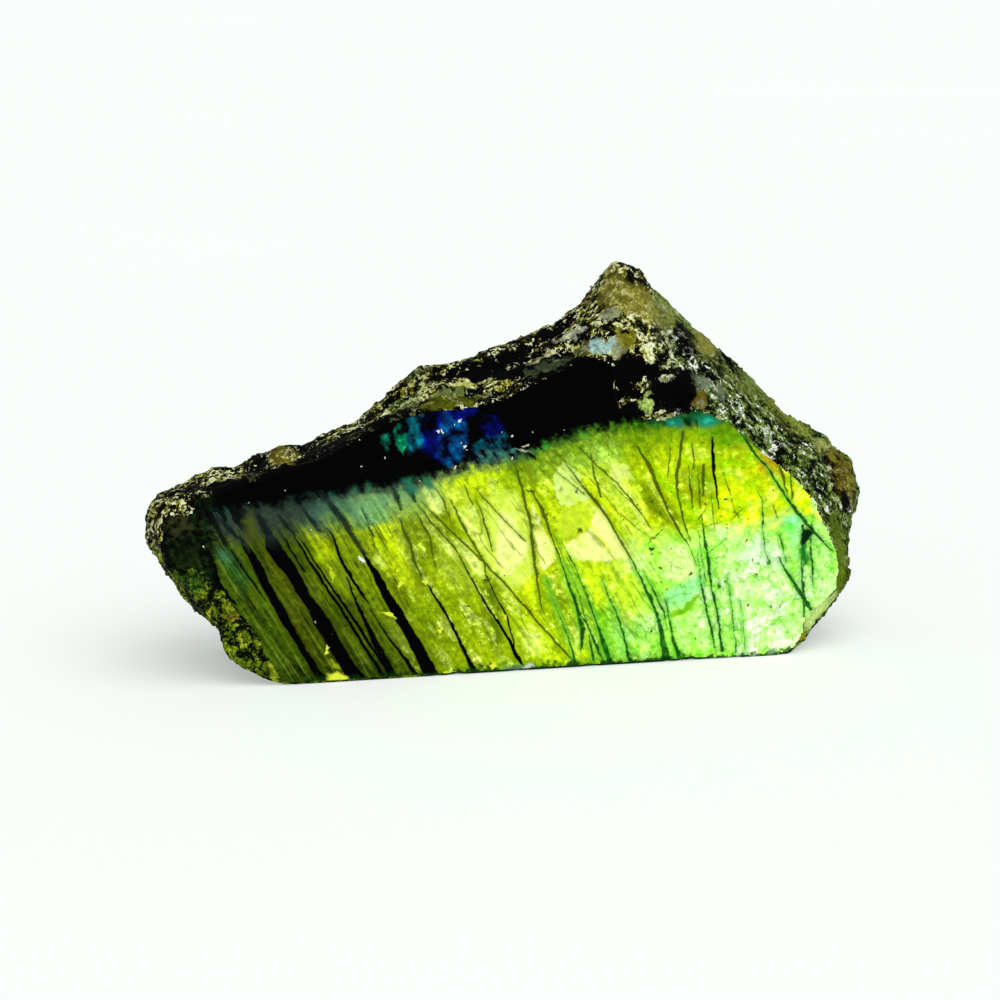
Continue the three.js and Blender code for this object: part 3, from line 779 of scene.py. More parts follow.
# Bits that stand out on the face: (softness, colour, outline).
FLAKES = [
    (0.7, paint(74, 84, 26), [(11.6, 22.0), (12.6, 22.8), (13.5, 20.2), (12.6, 18.8)]),
    (0.5, paint(36, 112, 88), [(32.2, 26.2), (33.2, 26.6), (34.0, 24.4), (33.0, 24.2)]),
    (0.4, paint(44, 120, 84), [(34.6, 26.6), (35.6, 26.6), (36.0, 25.0), (35.2, 24.9)]),
    (0.3, paint(2, 40, 8), [(85.0, 17.5), (86.4, 16.9), (86.7, 16.2), (85.7, 14.9), (85.2, 14.4)]),
    (0.4, paint(20, 120, 30), [(85.0, 14.6), (85.8, 15.0), (86.2, 12.6), (85.4, 12.0)]),
    (0.2, DARK_CRACK, [(54.8, 18.6), (55.3, 18.7), (55.3, 18.1), (54.8, 18.0)]),
    (0.12, BLACK, [(64.8, 4.4), (65.1, 4.5), (65.2, 4.1), (64.9, 4.1)]),
    (0.15, DARK_CRACK, [(54.65, 24.1), (54.85, 24.0), (54.75, 23.3), (54.55, 23.4)]),
    (0.2, DARK_CRACK, [(42.2, 12.6), (43.0, 13.0), (42.9, 12.3), (42.4, 12.2)]),
    (0.2, DARK_CRACK, [(48.1, 24.1), (48.9, 24.0), (49.0, 23.6), (48.2, 23.8)]),
    (0.2, DARK_CRACK, [(50.2, 21.0), (50.7, 20.9), (50.4, 20.4), (50.1, 20.4)]),
    (0.2, DARK_CRACK, [(34.6, 13.0), (35.4, 12.7), (35.2, 12.2), (34.7, 12.3)]),
    (0.1, CHIP_AND_GLINT_WHITE, [(26.0, 16.4), (26.8, 16.5), (27.0, 15.8), (26.4, 15.6)]),
    (0.1, YELLOW_FLAKE, [(45.1, 7.9), (45.5, 7.7), (45.3, 7.2), (45.0, 7.4)]),
    (0.12, paint(190, 206, 30), [(22.2, 16.0), (22.6, 15.6), (23.2, 13.6), (22.6, 14.0)]),
    (0.06, YELLOW_FLAKE, [(29.1, 9.0), (30.2, 8.7), (31.0, 8.0), (30.0, 8.1)]),
    (0.08, YELLOW_FLAKE, [(34.6, 12.9), (35.5, 13.0), (35.2, 12.4), (34.9, 12.3)]),
    (0.06, YELLOW_FLAKE, [(31.4, 12.6), (32.0, 12.6), (31.6, 11.9), (31.3, 12.0)]),
    (0.06, YELLOW_FLAKE, [(36.2, 6.0), (36.8, 6.5), (37.0, 6.2), (36.4, 5.6)]),
    (0.06, YELLOW_FLAKE, [(21.8, 5.3), (22.1, 5.2), (22.4, 4.0), (22.0, 3.8)]),
    (0.3, YELLOW_FLAKE, [(22.2, 1.1), (23.2, 1.4), (24.6, 0.9), (24.8, 0.2), (22.4, 0.3)]),
    (0.2, paint(150, 168, 20), [(22.6, 3.0), (23.4, 2.6), (23.6, 1.8), (22.8, 2.0)]),
    (0.4, paint(96, 124, 92), [(45.2, 0.5), (46.8, 1.0), (48.2, 0.6), (47.6, 0.1), (45.4, 0.1)]),
    (0.12, SILVER, [(47.4, 0.5), (48.2, 1.0), (49.0, 0.7), (48.0, 0.3)]),
    (0.1, YELLOW_FLAKE, [(43.2, 1.2), (44.0, 1.4), (44.6, 0.8), (43.6, 0.6)]),
    (0.3, paint(130, 160, 130), [(80.8, 0.8), (82.0, 1.0), (81.9, 0.4), (80.9, 0.3)]),
    (0.1, YELLOW_FLAKE, [(37.4, 0.6), (38.6, 0.5), (39.4, 0.2), (37.2, 0.1)]),
    (0.2, SILVER, [(46.6, 29.5), (47.4, 29.45), (48.2, 29.0), (47.4, 29.2)]),
    (0.12, CREAM, [(47.5, 30.1), (48.3, 30.0), (48.1, 29.85), (47.4, 29.9)]),
    (0.9, paint(14, 84, 40), [(64.2, 32.8), (70.0, 33.4), (74.8, 32.8), (74.4, 31.6), (69.0, 31.7),
                              (64.4, 31.4)]),
    (0.6, paint(16, 142, 108), [(70.6, 32.7), (72.2, 32.8), (73.4, 31.9), (72.4, 31.2), (71.0, 31.5)]),
    (0.5, paint(16, 126, 100), [(66.2, 32.7), (67.8, 32.5), (68.7, 32.0), (68.4, 31.3), (66.7, 31.4)]),
    (0.25, paint(36, 176, 140), [(66.8, 32.1), (67.5, 32.2), (67.8, 31.8), (67.2, 31.6)]),
    (0.25, paint(40, 184, 146), [(71.4, 32.2), (72.1, 32.4), (72.6, 32.0), (71.8, 31.7)]),
    (0.2, paint(6, 46, 20), [(68.8, 32.6), (69.6, 32.7), (69.7, 31.8), (69.1, 31.6)]),
    (0.2, paint(6, 52, 24), [(70.1, 32.4), (70.5, 32.4), (70.5, 31.5), (70.2, 31.5)]),
    (0.1, BLACK, [(47.8, 28.8), (48.8, 28.6), (49.5, 27.5), (48.8, 27.8)]),
]
BLUE_PANELS = [
    (0.3, paint(6, 84, 62), [(29.2, 32.0), (30.0, 32.2), (30.4, 30.8), (29.8, 30.0), (29.2, 30.8)]),
    (0.2, paint(8, 124, 80), [(30.8, 32.6), (31.6, 33.4), (32.4, 33.0), (32.4, 30.4), (31.9, 29.2),
                              (31.3, 30.3)]),
    (0.4, TEAL_BLUE, [(32.5, 33.8), (34.6, 34.6), (34.8, 30.2), (33.0, 29.6), (32.5, 31.2)]),
    (0.5, NAVY, [(34.3, 33.4), (37.6, 34.8), (38.2, 31.2), (37.0, 28.6), (34.6, 30.0)]),
    (0.5, BLUE, [(37.0, 35.4), (39.6, 35.2), (40.4, 32.4), (39.8, 29.0), (38.2, 27.8), (36.2, 29.6),
                 (36.8, 32)]),
    (0.3, NAVY, [(37.2, 35.2), (40.6, 35.6), (41.6, 34.6), (40.8, 33.2), (38.8, 33.6)]),
    (0.5, NAVY, [(42.3, 34.0), (43.8, 34.0), (44.9, 32.4), (44.8, 30.6), (42.2, 30.8)]),
    (0.5, TEAL_BLUE, [(41.8, 31.0), (45.0, 31.2), (45.6, 29.6), (44, 28.8), (41.0, 28.8)]),
    (0.5, paint(60, 112, 96), [(40.0, 28.6), (43, 29.6), (46.4, 29.2), (46.8, 28.2), (42, 27.8)]),
    (0.2, BLACK, [(35.3, 34.2), (36.4, 34.2), (36.6, 32.4), (35.6, 32.0)]),
    (0.25, BLACK, [(40.8, 33.8), (42.0, 33.2), (42.3, 31.4), (41.2, 30.0), (40.4, 31.6)]),
]
# Small white sparkles on the face, painted highlights: (across, up, radius).
GLINTS = [(39.3, 33.6, 0.3), (38.9, 33.1, 0.14), (37.1, 32.1, 0.22), (36.5, 32.0, 0.12), (39.9, 30.2, 0.24),
          (40.3, 29.7, 0.14), (39.6, 30.7, 0.12), (45.9, 31.0, 0.18), (45.0, 31.5, 0.1), (29.6, 29.3, 0.12),
          (26.6, 31.7, 0.14), (26.7, 28.2, 0.1), (17.0, 25.6, 0.13), (6.8, 18.8, 0.16), (12.3, 24.0, 0.1),
          (34.3, 26.1, 0.14), (38.8, 27.6, 0.14), (20.2, 20.4, 0.12), (46.1, 28.1, 0.12), (20.9, 8.3, 0.1),
          (49.2, 31.6, 0.1), (43.4, 35.4, 0.1), (52.8, 31.8, 0.1), (31.4, 21.4, 0.12)]

# Small dark specks and pits in the clear end: (across, up, radius).
SPECKS = [(70.2, 20.5, 0.3), (71.8, 20.9, 0.24), (70.9, 21.6, 0.2), (75.9, 19.9, 0.36), (76.5, 19.3, 0.2),
          (74.5, 21.9, 0.3), (75.6, 18.9, 0.14), (77.4, 15.8, 0.16), (80.8, 22.4, 0.2), (64.9, 16.8, 0.3),
          (64.6, 15.4, 0.36), (64.8, 14.6, 0.18), (74.9, 18.3, 0.26), (74.8, 17.8, 0.2), (65.8, 13.0, 0.24),
          (66.1, 11.1, 0.2), (66.9, 9.9, 0.24), (70.1, 11.9, 0.24), (74.0, 9.9, 0.5), (74.9, 10.4, 0.3),
          (68.8, 10.4, 0.16), (80.7, 12.7, 0.4), (77.8, 7.1, 0.3), (82.3, 6.6, 0.24), (68.0, 8.0, 0.2),
          (71.1, 2.9, 0.2), (71.6, 2.2, 0.16), (79.1, 11.4, 0.2), (81.1, 6.9, 0.2), (80.1, 5.4, 0.16),
          (78.5, 13.1, 0.2), (77.9, 18.8, 0.16), (62.6, 21.4, 0.16), (60.9, 19.6, 0.14), (66.8, 22.0, 0.18),
          (73.2, 15.6, 0.16), (72.6, 12.0, 0.18), (58.8, 12.2, 0.16), (60.4, 6.6, 0.2), (52.6, 10.2, 0.16),
          (47.2, 9.6, 0.2), (44.6, 10.8, 0.18), (38.6, 12.8, 0.2), (40.4, 9.0, 0.24), (35.4, 8.6, 0.2),
          (31.2, 14.8, 0.14), (50.4, 26.4, 0.2)]

CLOUD_OUTLINE = [(0.8, 20.4), (1.6, 22.6), (4.4, 22.8), (5.6, 21.2), (3.4, 19.8)]
PEPPERED_OUTLINE = [(58, 24), (68, 26), (78, 25), (79, 18), (66, 15), (60, 17)]

UP_SPAN = 50.0  # the height that the vein curves cover, in millimetres
HAIR = 0.02  # how far past its ends a vein's width takes to close, as a share of that height
CLOSED = -2.0  # the half width past a vein's ends, low enough that nothing of it shows
FAR_OFF = 9.0  # a gap or distance that is surely outside every mark
CRAZE_SIZE = 4.0  # millimetres across a cleaved patch of the mint end
MARK_REACH = 4.0  # how far past its own outline a mark can still show, in millimetres


def near(marks, span):
    """The panels, veins or spots that show somewhere in that span across the face."""
    kept = []
    for mark in marks:
        points = mark if isinstance(mark, list) else mark[2] if isinstance(mark[2], list) else [mark]
        places = [point[0] for point in points]
        if max(places) + MARK_REACH > span[0] and min(places) - MARK_REACH < span[1]:
            kept.append(mark)
    return kept


def gap_to(veins):
    """A builder for the gap in millimetres to the nearest vein's edge, below 0 inside it."""

    def build(shader, across, up):
        height = up / UP_SPAN
        nearest = across * 0 + FAR_OFF
        for points in veins:
            line = [(up / UP_SPAN, a) for a, up, _ in points]
            width = sorted((up / UP_SPAN, half) for _, up, half in points)
            width = [(width[0][0] - HAIR, CLOSED), *width, (width[-1][0] + HAIR, CLOSED)]
            centre = shader.node("ShaderNodeFloatCurve", {"points": line}, {1: height})
            half = shader.node("ShaderNodeFloatCurve", {"points": width}, {1: height})
            nearest = nearest.least(abs(across - centre) - half)
        return nearest

    return build


def painted(panels):
    """A builder for the colour with each panel laid over it in turn."""

    def build(shader, colour, face):
        for softness, panel, outline in panels:
            colour = shader.mix(colour, panel, shader.inside(face, outline, softness))
        return colour

    return build


def spotted(spots):
    """A builder for a mask that is 1 in each round spot, given as (across, up, radius)."""

    def build(shader, face):
        settings = {"operation": "DISTANCE"}
        nearest = shader.part_of(face, "Z") * FAR_OFF
        for across, up, radius in spots:
            away = shader.node("ShaderNodeVectorMath", settings, {0: face, 1: (across, up, 1)}, "Value")
            nearest = nearest.least(away / radius)
        return shader.smooth(nearest, 1.0, 0.4)

    return build


def swings(noise, reach):
    """Noise about 0.5 turned into a swing of that reach about 0."""
    return (noise - 0.5) * reach


class Face:
    """One zone of the polish: its places in millimetres, and the noise that its layers share."""

    def __init__(self, shader, span):
        self.shader, self.span = shader, span
        self.place = shader.place()
        across, up = (shader.part_of(self.place, axis) for axis in "XZ")
        self.across, self.up = across, up
        self.flat = self.at(across, up, 1.0)
        self.jagged = shader.jolted(shader.jolted(self.flat, 2.4, 0.4, 2.0), 0.6, 0.2, 3.0)
        self.at_base = across + up * (shader.smooth(across, 88, 46) * 0.62)
        self.clear_end = shader.smooth(across, 56, 72)
        self.broad = shader.noise(self.flat, 5.0, 3.0, 0.6)
        self.fine = shader.noise(self.flat, 0.8, 4.0, 0.75)
        self.dapple = shader.noise(self.leaning(0.5, 0.5), 2.0, 5.0, 0.76)
        drawn_out = self.leaning(0.13, 0.4)
        self.grain = shader.noise(drawn_out, 0.9, 4.0, 0.65)
        self.broad_grain = shader.noise(drawn_out, 3.0, 2.0, 0.5)
        self.shards = shader.jolted(self.leaning(0.3, 0.5), 1.4, 0.4)
        facets = shader.cells(shader.jolted(self.shards, 0.3, 0.1), 1.0, output="Color")
        self.clear_facet, self.dark_facet = (shader.part_of(facets, axis) for axis in "XY")
        # How far below the top of the flash, which is ragged.
        wander = swings(self.grain, 0.8) + swings(self.fine, 2.2) + swings(self.dapple, 2.2)
        self.below = shader.height_along(across, FLASH_TOP) - up + wander
        # The golden upper part and the mint lower part of the clear end.
        high = up + swings(self.dapple, 10) + swings(self.clear_facet, 4) - across * 0.12
        self.gilt = shader.smooth(high, 5.5, 9.5) * shader.smooth(across, 60, 66)
        self.mint_end = shader.smooth(across, 58, 68) * shader.smooth(up + swings(self.dapple, 6), 19, 15)
        self.crazed = shader.jolted(self.flat, 3.0, 1.7, 2.0)
        self.crazed_edge = shader.cells(self.crazed, CRAZE_SIZE, "DISTANCE_TO_EDGE")
        # What breaks up the edges of the cracks, and their run.
        self.ragged = swings(self.fine, 0.4) + swings(self.dapple, 0.4)
        self.jagged_across = across + swings(shader.noise(self.flat, 1.5, 2.0), 0.5) + swings(self.fine, 0.35)

    def at(self, across, up, third=0.0):
        return self.shader.node("ShaderNodeCombineXYZ", inputs={0: across, 1: up, 2: third})

    def leaning(self, left_end, more_at_right):
        """Places drawn out along the lean of the cracks, the more so the smaller the numbers."""
        return self.at(self.at_base, self.up * (left_end + self.clear_end * more_at_right))

    def covered(self, name, panels, colour):
        """The colour with those of the panels that show here over it."""
        wires = {"colour": colour, "face": self.jagged}
        return self.shader.part(name, wires, painted(near(panels, self.span)))

    def spots(self, name, spots):
        return self.shader.part(name, {"face": self.jagged}, spotted(near(spots, self.span)))

    def gap(self, name, veins):
        """How far outside the nearest of the veins each place is, in millimetres."""
        wires = {"across": self.jagged_across, "up": self.up}
        return self.shader.part(name, wires, gap_to(near(veins, self.span)))


def flash(face):
    """The flash's own colours, with its pale and its shaded places."""
    shader, across, below, clear_facet = face.shader, face.across, face.below, face.clear_facet
    stops = [(base / WIDTH, colour) for base, colour in ALONG_BASE]
    colour = shader.ramp((face.at_base + swings(face.broad, 6)) / WIDTH, stops)
    colour = face.covered("panels", PANELS, colour)
    bright = shader.smooth(across, 28, 42) * shader.smooth(below, 3, 7)
    pale = shader.mix(shader.ramp(across / WIDTH, PALE_ALONG), GILT, face.gilt)
    shaded = shader.smooth(below, 7.0, 1.6) * shader.smooth(across, 40, 48)
    return shader.coated(colour,
                         (pale, shader.smooth(face.fine + clear_facet * 0.25, 0.72, 0.86) * bright),
                         (pale, shader.smooth(clear_facet, 0.72, 0.9) * bright * 0.5),
                         (UNDER_BLACK, shaded * 0.9))


def cleaved_end(face, colour):
    """The mint end, cleaved in pale patches, and the greener foot of the face."""
    shader, across, up, fine = face.shader, face.across, face.up, face.fine
    patches = shader.part_of(shader.cells(face.crazed, CRAZE_SIZE, output="Color"), "Z")
    patch_colour = shader.ramp(patches + swings(face.dapple, 0.5), CLEAVED)
    left_foot = shader.smooth(up + swings(fine, 3), 5.0, 1.0) * shader.smooth(across, 34, 28)
    right_foot = shader.smooth(up + swings(fine, 2), 1.8, 0.2)
    right_foot = right_foot * shader.smooth(across, 80, 66) * shader.smooth(across, 34, 46)
    return shader.coated(colour,
                         (patch_colour, face.mint_end * 0.56),
                         (CRAZED_LIME, shader.smooth(face.crazed_edge, 0.16, 0.0) * face.mint_end * 0.35),
                         (FOOT_GREEN, left_foot * 0.85),
                         (FOOT_LEAF, right_foot * 0.8))


def shaded_deep(face, colour):
    """The colour as it shows in the stone's shaded depths."""
    shader = face.shader
    shade = shader.mix(SHADE, PALE_SHADE, shader.smooth(face.across, 58, 70))
    return shader.mix(colour, shade, 1.0, "MULTIPLY")


def grained(face, colour, shaded):
    """The flash with its laths, grain, clear panels, threads and mottling."""
    shader, across, clear_end = face.shader, face.across, face.clear_end
    fine, grain, dapple = face.fine, face.grain, face.dapple
    deep = shader.smooth(dapple + swings(face.dark_facet, 0.3), 0.47, 0.62)
    colour = shader.mix(colour, shaded, deep * 0.85)
    threaded = shader.smooth(across, 38, 27)
    streaks = swings(dapple, threaded) * 2.6
    streaks = streaks + swings(grain, 1.0 + shader.smooth(across, 40, 24) * 2.2 - clear_end * 0.4)
    shade = 1.08 + shader.smooth(across, 44, 60) * 0.12 + streaks + swings(fine, 1.7 - clear_end * 0.5)
    shade = shade + swings(face.broad_grain, 0.7) + swings(face.dark_facet, 0.16)
    colour = shader.mix(colour, shader.grey(shade), 1.0, "MULTIPLY")
    colour = face.covered("clear_panels", CLEAR_PANELS, colour)
    steep = face.at(across + face.up * 0.55, face.up * 0.06)
    threads = shader.noise(steep, 0.5, 2.0, 0.6) + swings(fine, 0.2)
    colour = shader.coated(colour,
                           (SILK, shader.smooth(threads, 0.54, 0.66) * threaded * 0.5),
                           (DARK_THREAD, shader.smooth(threads, 0.43, 0.35) * threaded * 0.75))
    mottle = shader.smooth(dapple + swings(grain, 0.3), 0.48, 0.66)
    colour = shader.mix(colour, shader.mix(WARM_MOTTLE, MINT_MOTTLE, clear_end), mottle * 0.7, "MULTIPLY")
    return shader.mix(colour, shader.grey(1.0 + swings(fine, 1.1) + swings(grain, 0.4)), 1.0, "MULTIPLY")


def cracked(face, colour, shaded):
    """The hairlines, the crazing and specks, and the olive, green and black cracks."""
    shader, across, up, fine, dapple = face.shader, face.across, face.up, face.fine, face.dapple
    hairs = shader.smooth(shader.cells(face.shards, 3.0, "DISTANCE_TO_EDGE"), 0.04, 0.0)
    hairs = hairs * shader.smooth(face.broad, 0.42, 0.55)
    hairs = hairs * shader.smooth(across, 32, 38) * shader.smooth(across, 86, 80) * (1 - face.gilt)
    crazing = shader.smooth(face.crazed_edge, 0.03, 0.0) * face.mint_end * shader.smooth(dapple, 0.4, 0.52)
    thin = face.gap("olive_cracks", OLIVE_CRACKS) + face.ragged * 0.7
    green = face.gap("green_veins", GREEN_VEINS) + face.ragged * 0.7 + 0.05 + swings(dapple, 0.3)
    black = face.gap("black_veins", BLACK_VEINS) + face.ragged * 0.5
    glowing = shader.smooth(up, 20, 12).greatest(shader.smooth(across, 74, 82))
    vein_colour = shader.mix(DEEP_GREEN, VEIN_GREEN, shader.smooth(fine, 0.48, 0.62))
    return shader.coated(colour,
                         (shader.mix(HAIRLINE, GREEN_HAIRLINE, face.clear_end), hairs * 0.7),
                         (CRAZING_GREEN, crazing * 0.8),
                         (SPECK, face.spots("specks", SPECKS)),
                         (shaded, shader.smooth(thin, 0.7, 0.0) * 0.5),
                         (DARK_CRACK, shader.smooth(thin, 0.07, -0.07) * 0.9),
                         (LEAF_GLOW, shader.smooth(green, 0.9, 0.0) * glowing * 0.6),
                         (vein_colour, shader.smooth(green, 0.12, -0.08) * 0.95),
                         (shaded, shader.smooth(black, 1.0, 0.0) * 0.6),
                         (BLACK, shader.smooth(black, 0.12, -0.06)))


def topped(face, colour):
    """The slate fringe, and the black stone above the flash with its blue patches."""
    shader, across, below, grain, dapple = face.shader, face.across, face.below, face.grain, face.dapple
    left = shader.smooth(across, 40, 32)
    fringe_shade = shader.grey(0.1 + grain * 0.7 + face.fine * 0.9 + swings(dapple, 0.8))
    fringe_colour = shader.mix(shader.ramp(across / WIDTH, FRINGE), fringe_shade, 1.0, "MULTIPLY")
    fringe = shader.smooth(below + swings(face.broad_grain, 3) + swings(dapple, 3), 6.4, 1.8)
    slate = face.gap("slate_veins", SLATE_VEINS) + face.ragged
    colour = shader.coated(colour,
                           (fringe_colour, fringe * left * 0.9),
                           (SLATE_DARK, shader.smooth(slate, 0.35, -0.15) * 0.92),
                           (shader.ramp(across / WIDTH, TOP_EDGE), shader.smooth(below, 2.0, 0.3) * 0.8),
                           (BLACK, shader.smooth(below, 0.6 + left * 1.6, -0.6)))
    blues = face.covered("blue_panels", BLUE_PANELS, colour)
    blotches = shader.noise(face.flat, 1.5, 2.0, 0.55) + swings(grain, 0.5)
    blues = shader.mix(blues, shader.ramp(blotches, SPARKLE), 1.0, "MULTIPLY")
    blues = shader.mix(blues, BLUE_GLEAM, shader.smooth(blotches, 0.54, 0.7) * 0.9, "DODGE")
    return shader.mix(colour, blues, shader.smooth(below, 1.2, 0.0))


def dulled_left(face, colour):
    """The dull dark corner at the far left, with its brown cloud."""
    shader, across, up, fine, dapple = face.shader, face.across, face.up, face.fine, face.dapple
    dark = shader.smooth(face.at_base + swings(fine, 5) + swings(face.grain, 5), 23.0, 19.0)
    dark = dark * shader.smooth(up + swings(fine, 3), 17.5, 19.0)
    gaps = shader.smooth(face.dark_facet + swings(fine, 0.7), 0.42, 0.56) * shader.smooth(across, 14.5, 11)
    gaps = gaps * shader.smooth(up + swings(dapple, 3), 18.2, 19.4)
    corner = shader.smooth(across + swings(fine, 3), 8.6, 7.0)
    corner_colour = shader.ramp(fine + swings(dapple, 0.6), DULL_CORNER)
    cloud = shader.inside(face.jagged, CLOUD_OUTLINE, 0.6)
    cloud = cloud * shader.smooth(fine + swings(dapple, 0.5), 0.44, 0.62)
    return shader.coated(colour, (SOOT, dark * 0.85), (BLACK, gaps * 0.85), (corner_colour, corner * 0.92),
                         (CLOUD_BROWN, cloud * 0.9))


def flecked(face, colour):
    """The dark foot line, which is partly painted contact shadow, the flakes, the pits and the glints, which
    are painted highlights.
    """
    shader, fine, dapple = face.shader, face.fine, face.dapple
    # A dark line along the foot: partly the stone's dark green edge, partly painted contact shadow.
    seam_and_shadow = shader.smooth(face.up + swings(dapple, 3.6) + swings(fine, 2.4), 0.85, 0.4)
    seam_and_shadow_colour = shader.mix(SEAM_AND_SHADOW_DARK, SEAM_OLIVE, shader.smooth(fine, 0.52, 0.62))
    colour = face.covered("flakes", FLAKES, shader.mix(colour, seam_and_shadow_colour, seam_and_shadow * 0.9))
    pits = shader.smooth(shader.cells(face.flat, 1.7), 0.09, 0.04) * shader.smooth(face.below, 0.5, 1.5)
    peppered = shader.smooth(shader.cells(face.jagged, 0.9), 0.24, 0.12) * shader.smooth(dapple, 0.5, 0.6)
    peppered = peppered * shader.inside(face.flat, PEPPERED_OUTLINE, 2.0)
    return shader.coated(colour,
                         (PIT, pits.greatest(peppered) * 0.8),
                         (CHIP_AND_GLINT_WHITE, face.spots("glints", GLINTS)))


def polished_flash(shader, span):
    """The polished face over that span across: its flash, the black stone above it and its cracks."""
    face = Face(shader, span)
    colour = cleaved_end(face, flash(face))
    shaded = shaded_deep(face, colour)
    colour = cracked(face, grained(face, colour, shaded), shaded)
    colour = flecked(face, dulled_left(face, topped(face, colour)))
    ripple = shader.noise(face.place, 0.9, 1.0)
    return colour, 0.16 + face.fine * 0.2, shader.bump(ripple, 0.08, 0.1), 0.02


# ---------------------------------------------------------------- the rind and the sawn faces

# The white of the glints painted on the rind's right shoulder.
GLINT_FLECK_WHITE = paint(236, 240, 226)
# The dark green along the front of the base, partly painted contact shadow.
RIND_SEAM_AND_SHADOW = paint(4, 60, 16)
SAWN_GLOW = paint(64, 92, 62)
SAWN_CRACK = paint(12, 15, 8)
SAW_MARK = paint(120, 128, 108)
SAWN_STONE = [(0.2, paint(20, 25, 15)), (0.4, paint(44, 52, 33)), (0.55, paint(66, 77, 50)),
              (0.7, paint(92, 102, 74)), (0.85, paint(122, 130, 104))]
# The rind's tone ramps. Their black is partly the stone's dark mineral and partly painted shade, and the
# palest stops of the earthy and silvery ramps are partly painted highlight on small facets.
EARTHY = [(0.0, BLACK), (0.47, paint(4, 4, 1)), (0.52, paint(52, 52, 10)), (0.61, paint(128, 122, 22)),
          (0.71, paint(184, 184, 84)), (0.81, paint(222, 228, 160)), (0.95, paint(246, 250, 214))]
SILVERY = [(0.0, BLACK), (0.42, paint(6, 10, 3)), (0.48, paint(52, 70, 18)), (0.6, paint(100, 122, 44)),
           (0.74, paint(132, 152, 74)), (0.86, paint(208, 220, 186)), (1.0, paint(240, 246, 230))]
MOSSY = [(0.0, BLACK), (0.46, paint(8, 14, 2)), (0.52, paint(52, 74, 3)), (0.64, paint(100, 124, 6)),
         (0.76, paint(128, 144, 14)), (0.92, paint(176, 188, 50))]

# Darker and lighter regions of the rind: centre and reach, each across, deep and up, and the shift in tone.
RIND_SHADES = [
    ((62.0, 0.5, 36.8), (4.6, 2.5, 4.2), -0.62),
    ((68.1, 0.5, 35.8), (2.6, 2.5, 2.9), -0.66),
    ((64.2, 0.2, 41.2), (1.0, 1.5, 1.3), 0.5),
    ((61.4, 0.2, 35.0), (1.8, 1.0, 0.7), 0.6),
    ((63.2, 0.2, 37.2), (1.5, 1.0, 0.6), 0.6),
    ((67.2, 0.6, 39.3), (1.8, 1.5, 0.6), 0.3),
    ((65.2, 0.4, 39.2), (1.7, 1.5, 0.9), -0.4),
    ((66.2, 0.2, 37.8), (1.6, 0.8, 0.5), 0.6),
    ((70.4, 4.2, 42.2), (2.0, 3.0, 2.8), -0.4),
    ((77.4, 7.0, 38.6), (1.6, 3.0, 1.4), -0.5),
    ((59.9, 0.2, 36.6), (0.4, 1.0, 2.6), 0.4),
    ((64.1, 0.2, 34.2), (0.8, 0.8, 1.6), 0.4),
    ((50.0, 6.5, 41.6), (9.0, 3.5, 4.0), -0.2),
    ((51.0, 1.6, 39.4), (8.0, 2.0, 2.0), -0.24),
    ((56.8, 3.0, 43.0), (2.6, 1.2, 0.9), -0.3),
    ((41.5, 7.0, 38.2), (7.0, 2.2, 1.6), -0.3),
    ((46.0, 3.4, 38.6), (2.4, 1.8, 1.2), -0.24),
    ((21.0, 5.0, 29.0), (11.0, 8.0, 4.0), -0.3),
    ((9.0, 4.0, 26.0), (6.0, 7.0, 2.4), -0.24),
    ((16.9, 5.5, 28.3), (2.2, 4.0, 2.0), 0.36),
    ((9.6, 6.0, 25.8), (2.8, 5.0, 1.2), 0.34),
    ((13.6, 1.2, 27.3), (3.2, 0.9, 0.9), 0.24),
    ((4.6, 1.5, 23.5), (3.0, 3.0, 1.5), 0.1),
    ((3.4, 0.4, 17.2), (3.4, 2.4, 2.6), -0.24),
    ((25.0, 8.6, 30.2), (4.6, 2.4, 1.6), 0.3),
    ((38.0, 3.2, 37.0), (6.0, 1.4, 1.6), 0.12),
    ((54.9, 3.6, 43.6), (3.8, 1.0, 1.6), 0.16),
    ((58.6, 0.6, 42.2), (2.4, 1.2, 1.6), 0.22),
    ((61.0, 4.6, 47.4), (2.8, 4.6, 3.4), 0.1),
    ((76.6, 1.6, 33.4), (3.0, 2.4, 3.0), -0.04),
    ((82.6, 1.6, 28.6), (3.4, 2.4, 3.4), 0.02),
    ((88.6, 1.4, 21.4), (2.0, 2.4, 3.0), -0.04),
    ((92.4, 3.8, 19.8), (0.9, 1.6, 2.0), -0.4),
    # Lighter at the pale lip of the lower right, partly painted light on faces that turn down.
    ((88.4, 1.2, 6.3), (3.2, 2.6, 1.9), 0.34),
]

# Tinted patches of the rind: centre and reach as before, then colour and strength.
RIND_PATCHES = [
    ((33.5, 3.6, 35.0), (3.4, 2.2, 1.6), paint(116, 132, 66), 0.65),
    ((36.0, 6.5, 36.4), (2.6, 3.0, 1.2), paint(140, 148, 66), 0.6),
    ((36.0, 10.4, 37.8), (2.0, 1.6, 1.5), paint(96, 108, 56), 0.7),
    ((43.5, 11.5, 39.4), (3.0, 2.5, 1.5), paint(84, 94, 44), 0.7),
    ((50.2, 3.0, 40.6), (2.8, 0.6, 1.3), paint(210, 206, 150), 0.7),
    ((76.5, 6.5, 39.5), (8.0, 3.2, 7.0), paint(112, 124, 52), 0.7),
    ((86.0, 8.4, 31.0), (4.4, 3.6, 4.4), paint(136, 146, 56), 0.8),
    ((92.5, 6.0, 22.8), (2.8, 4.4, 4.8), paint(120, 110, 28), 0.85),
    ((91.6, 1.5, 11.4), (2.2, 3.4, 6.0), paint(84, 104, 12), 0.8),
    ((4.6, 0.5, 14.2), (2.4, 2.2, 2.2), paint(34, 82, 24), 0.6),
    ((10.4, 0.4, 9.6), (1.6, 1.4, 1.0), paint(112, 96, 30), 0.55),
]
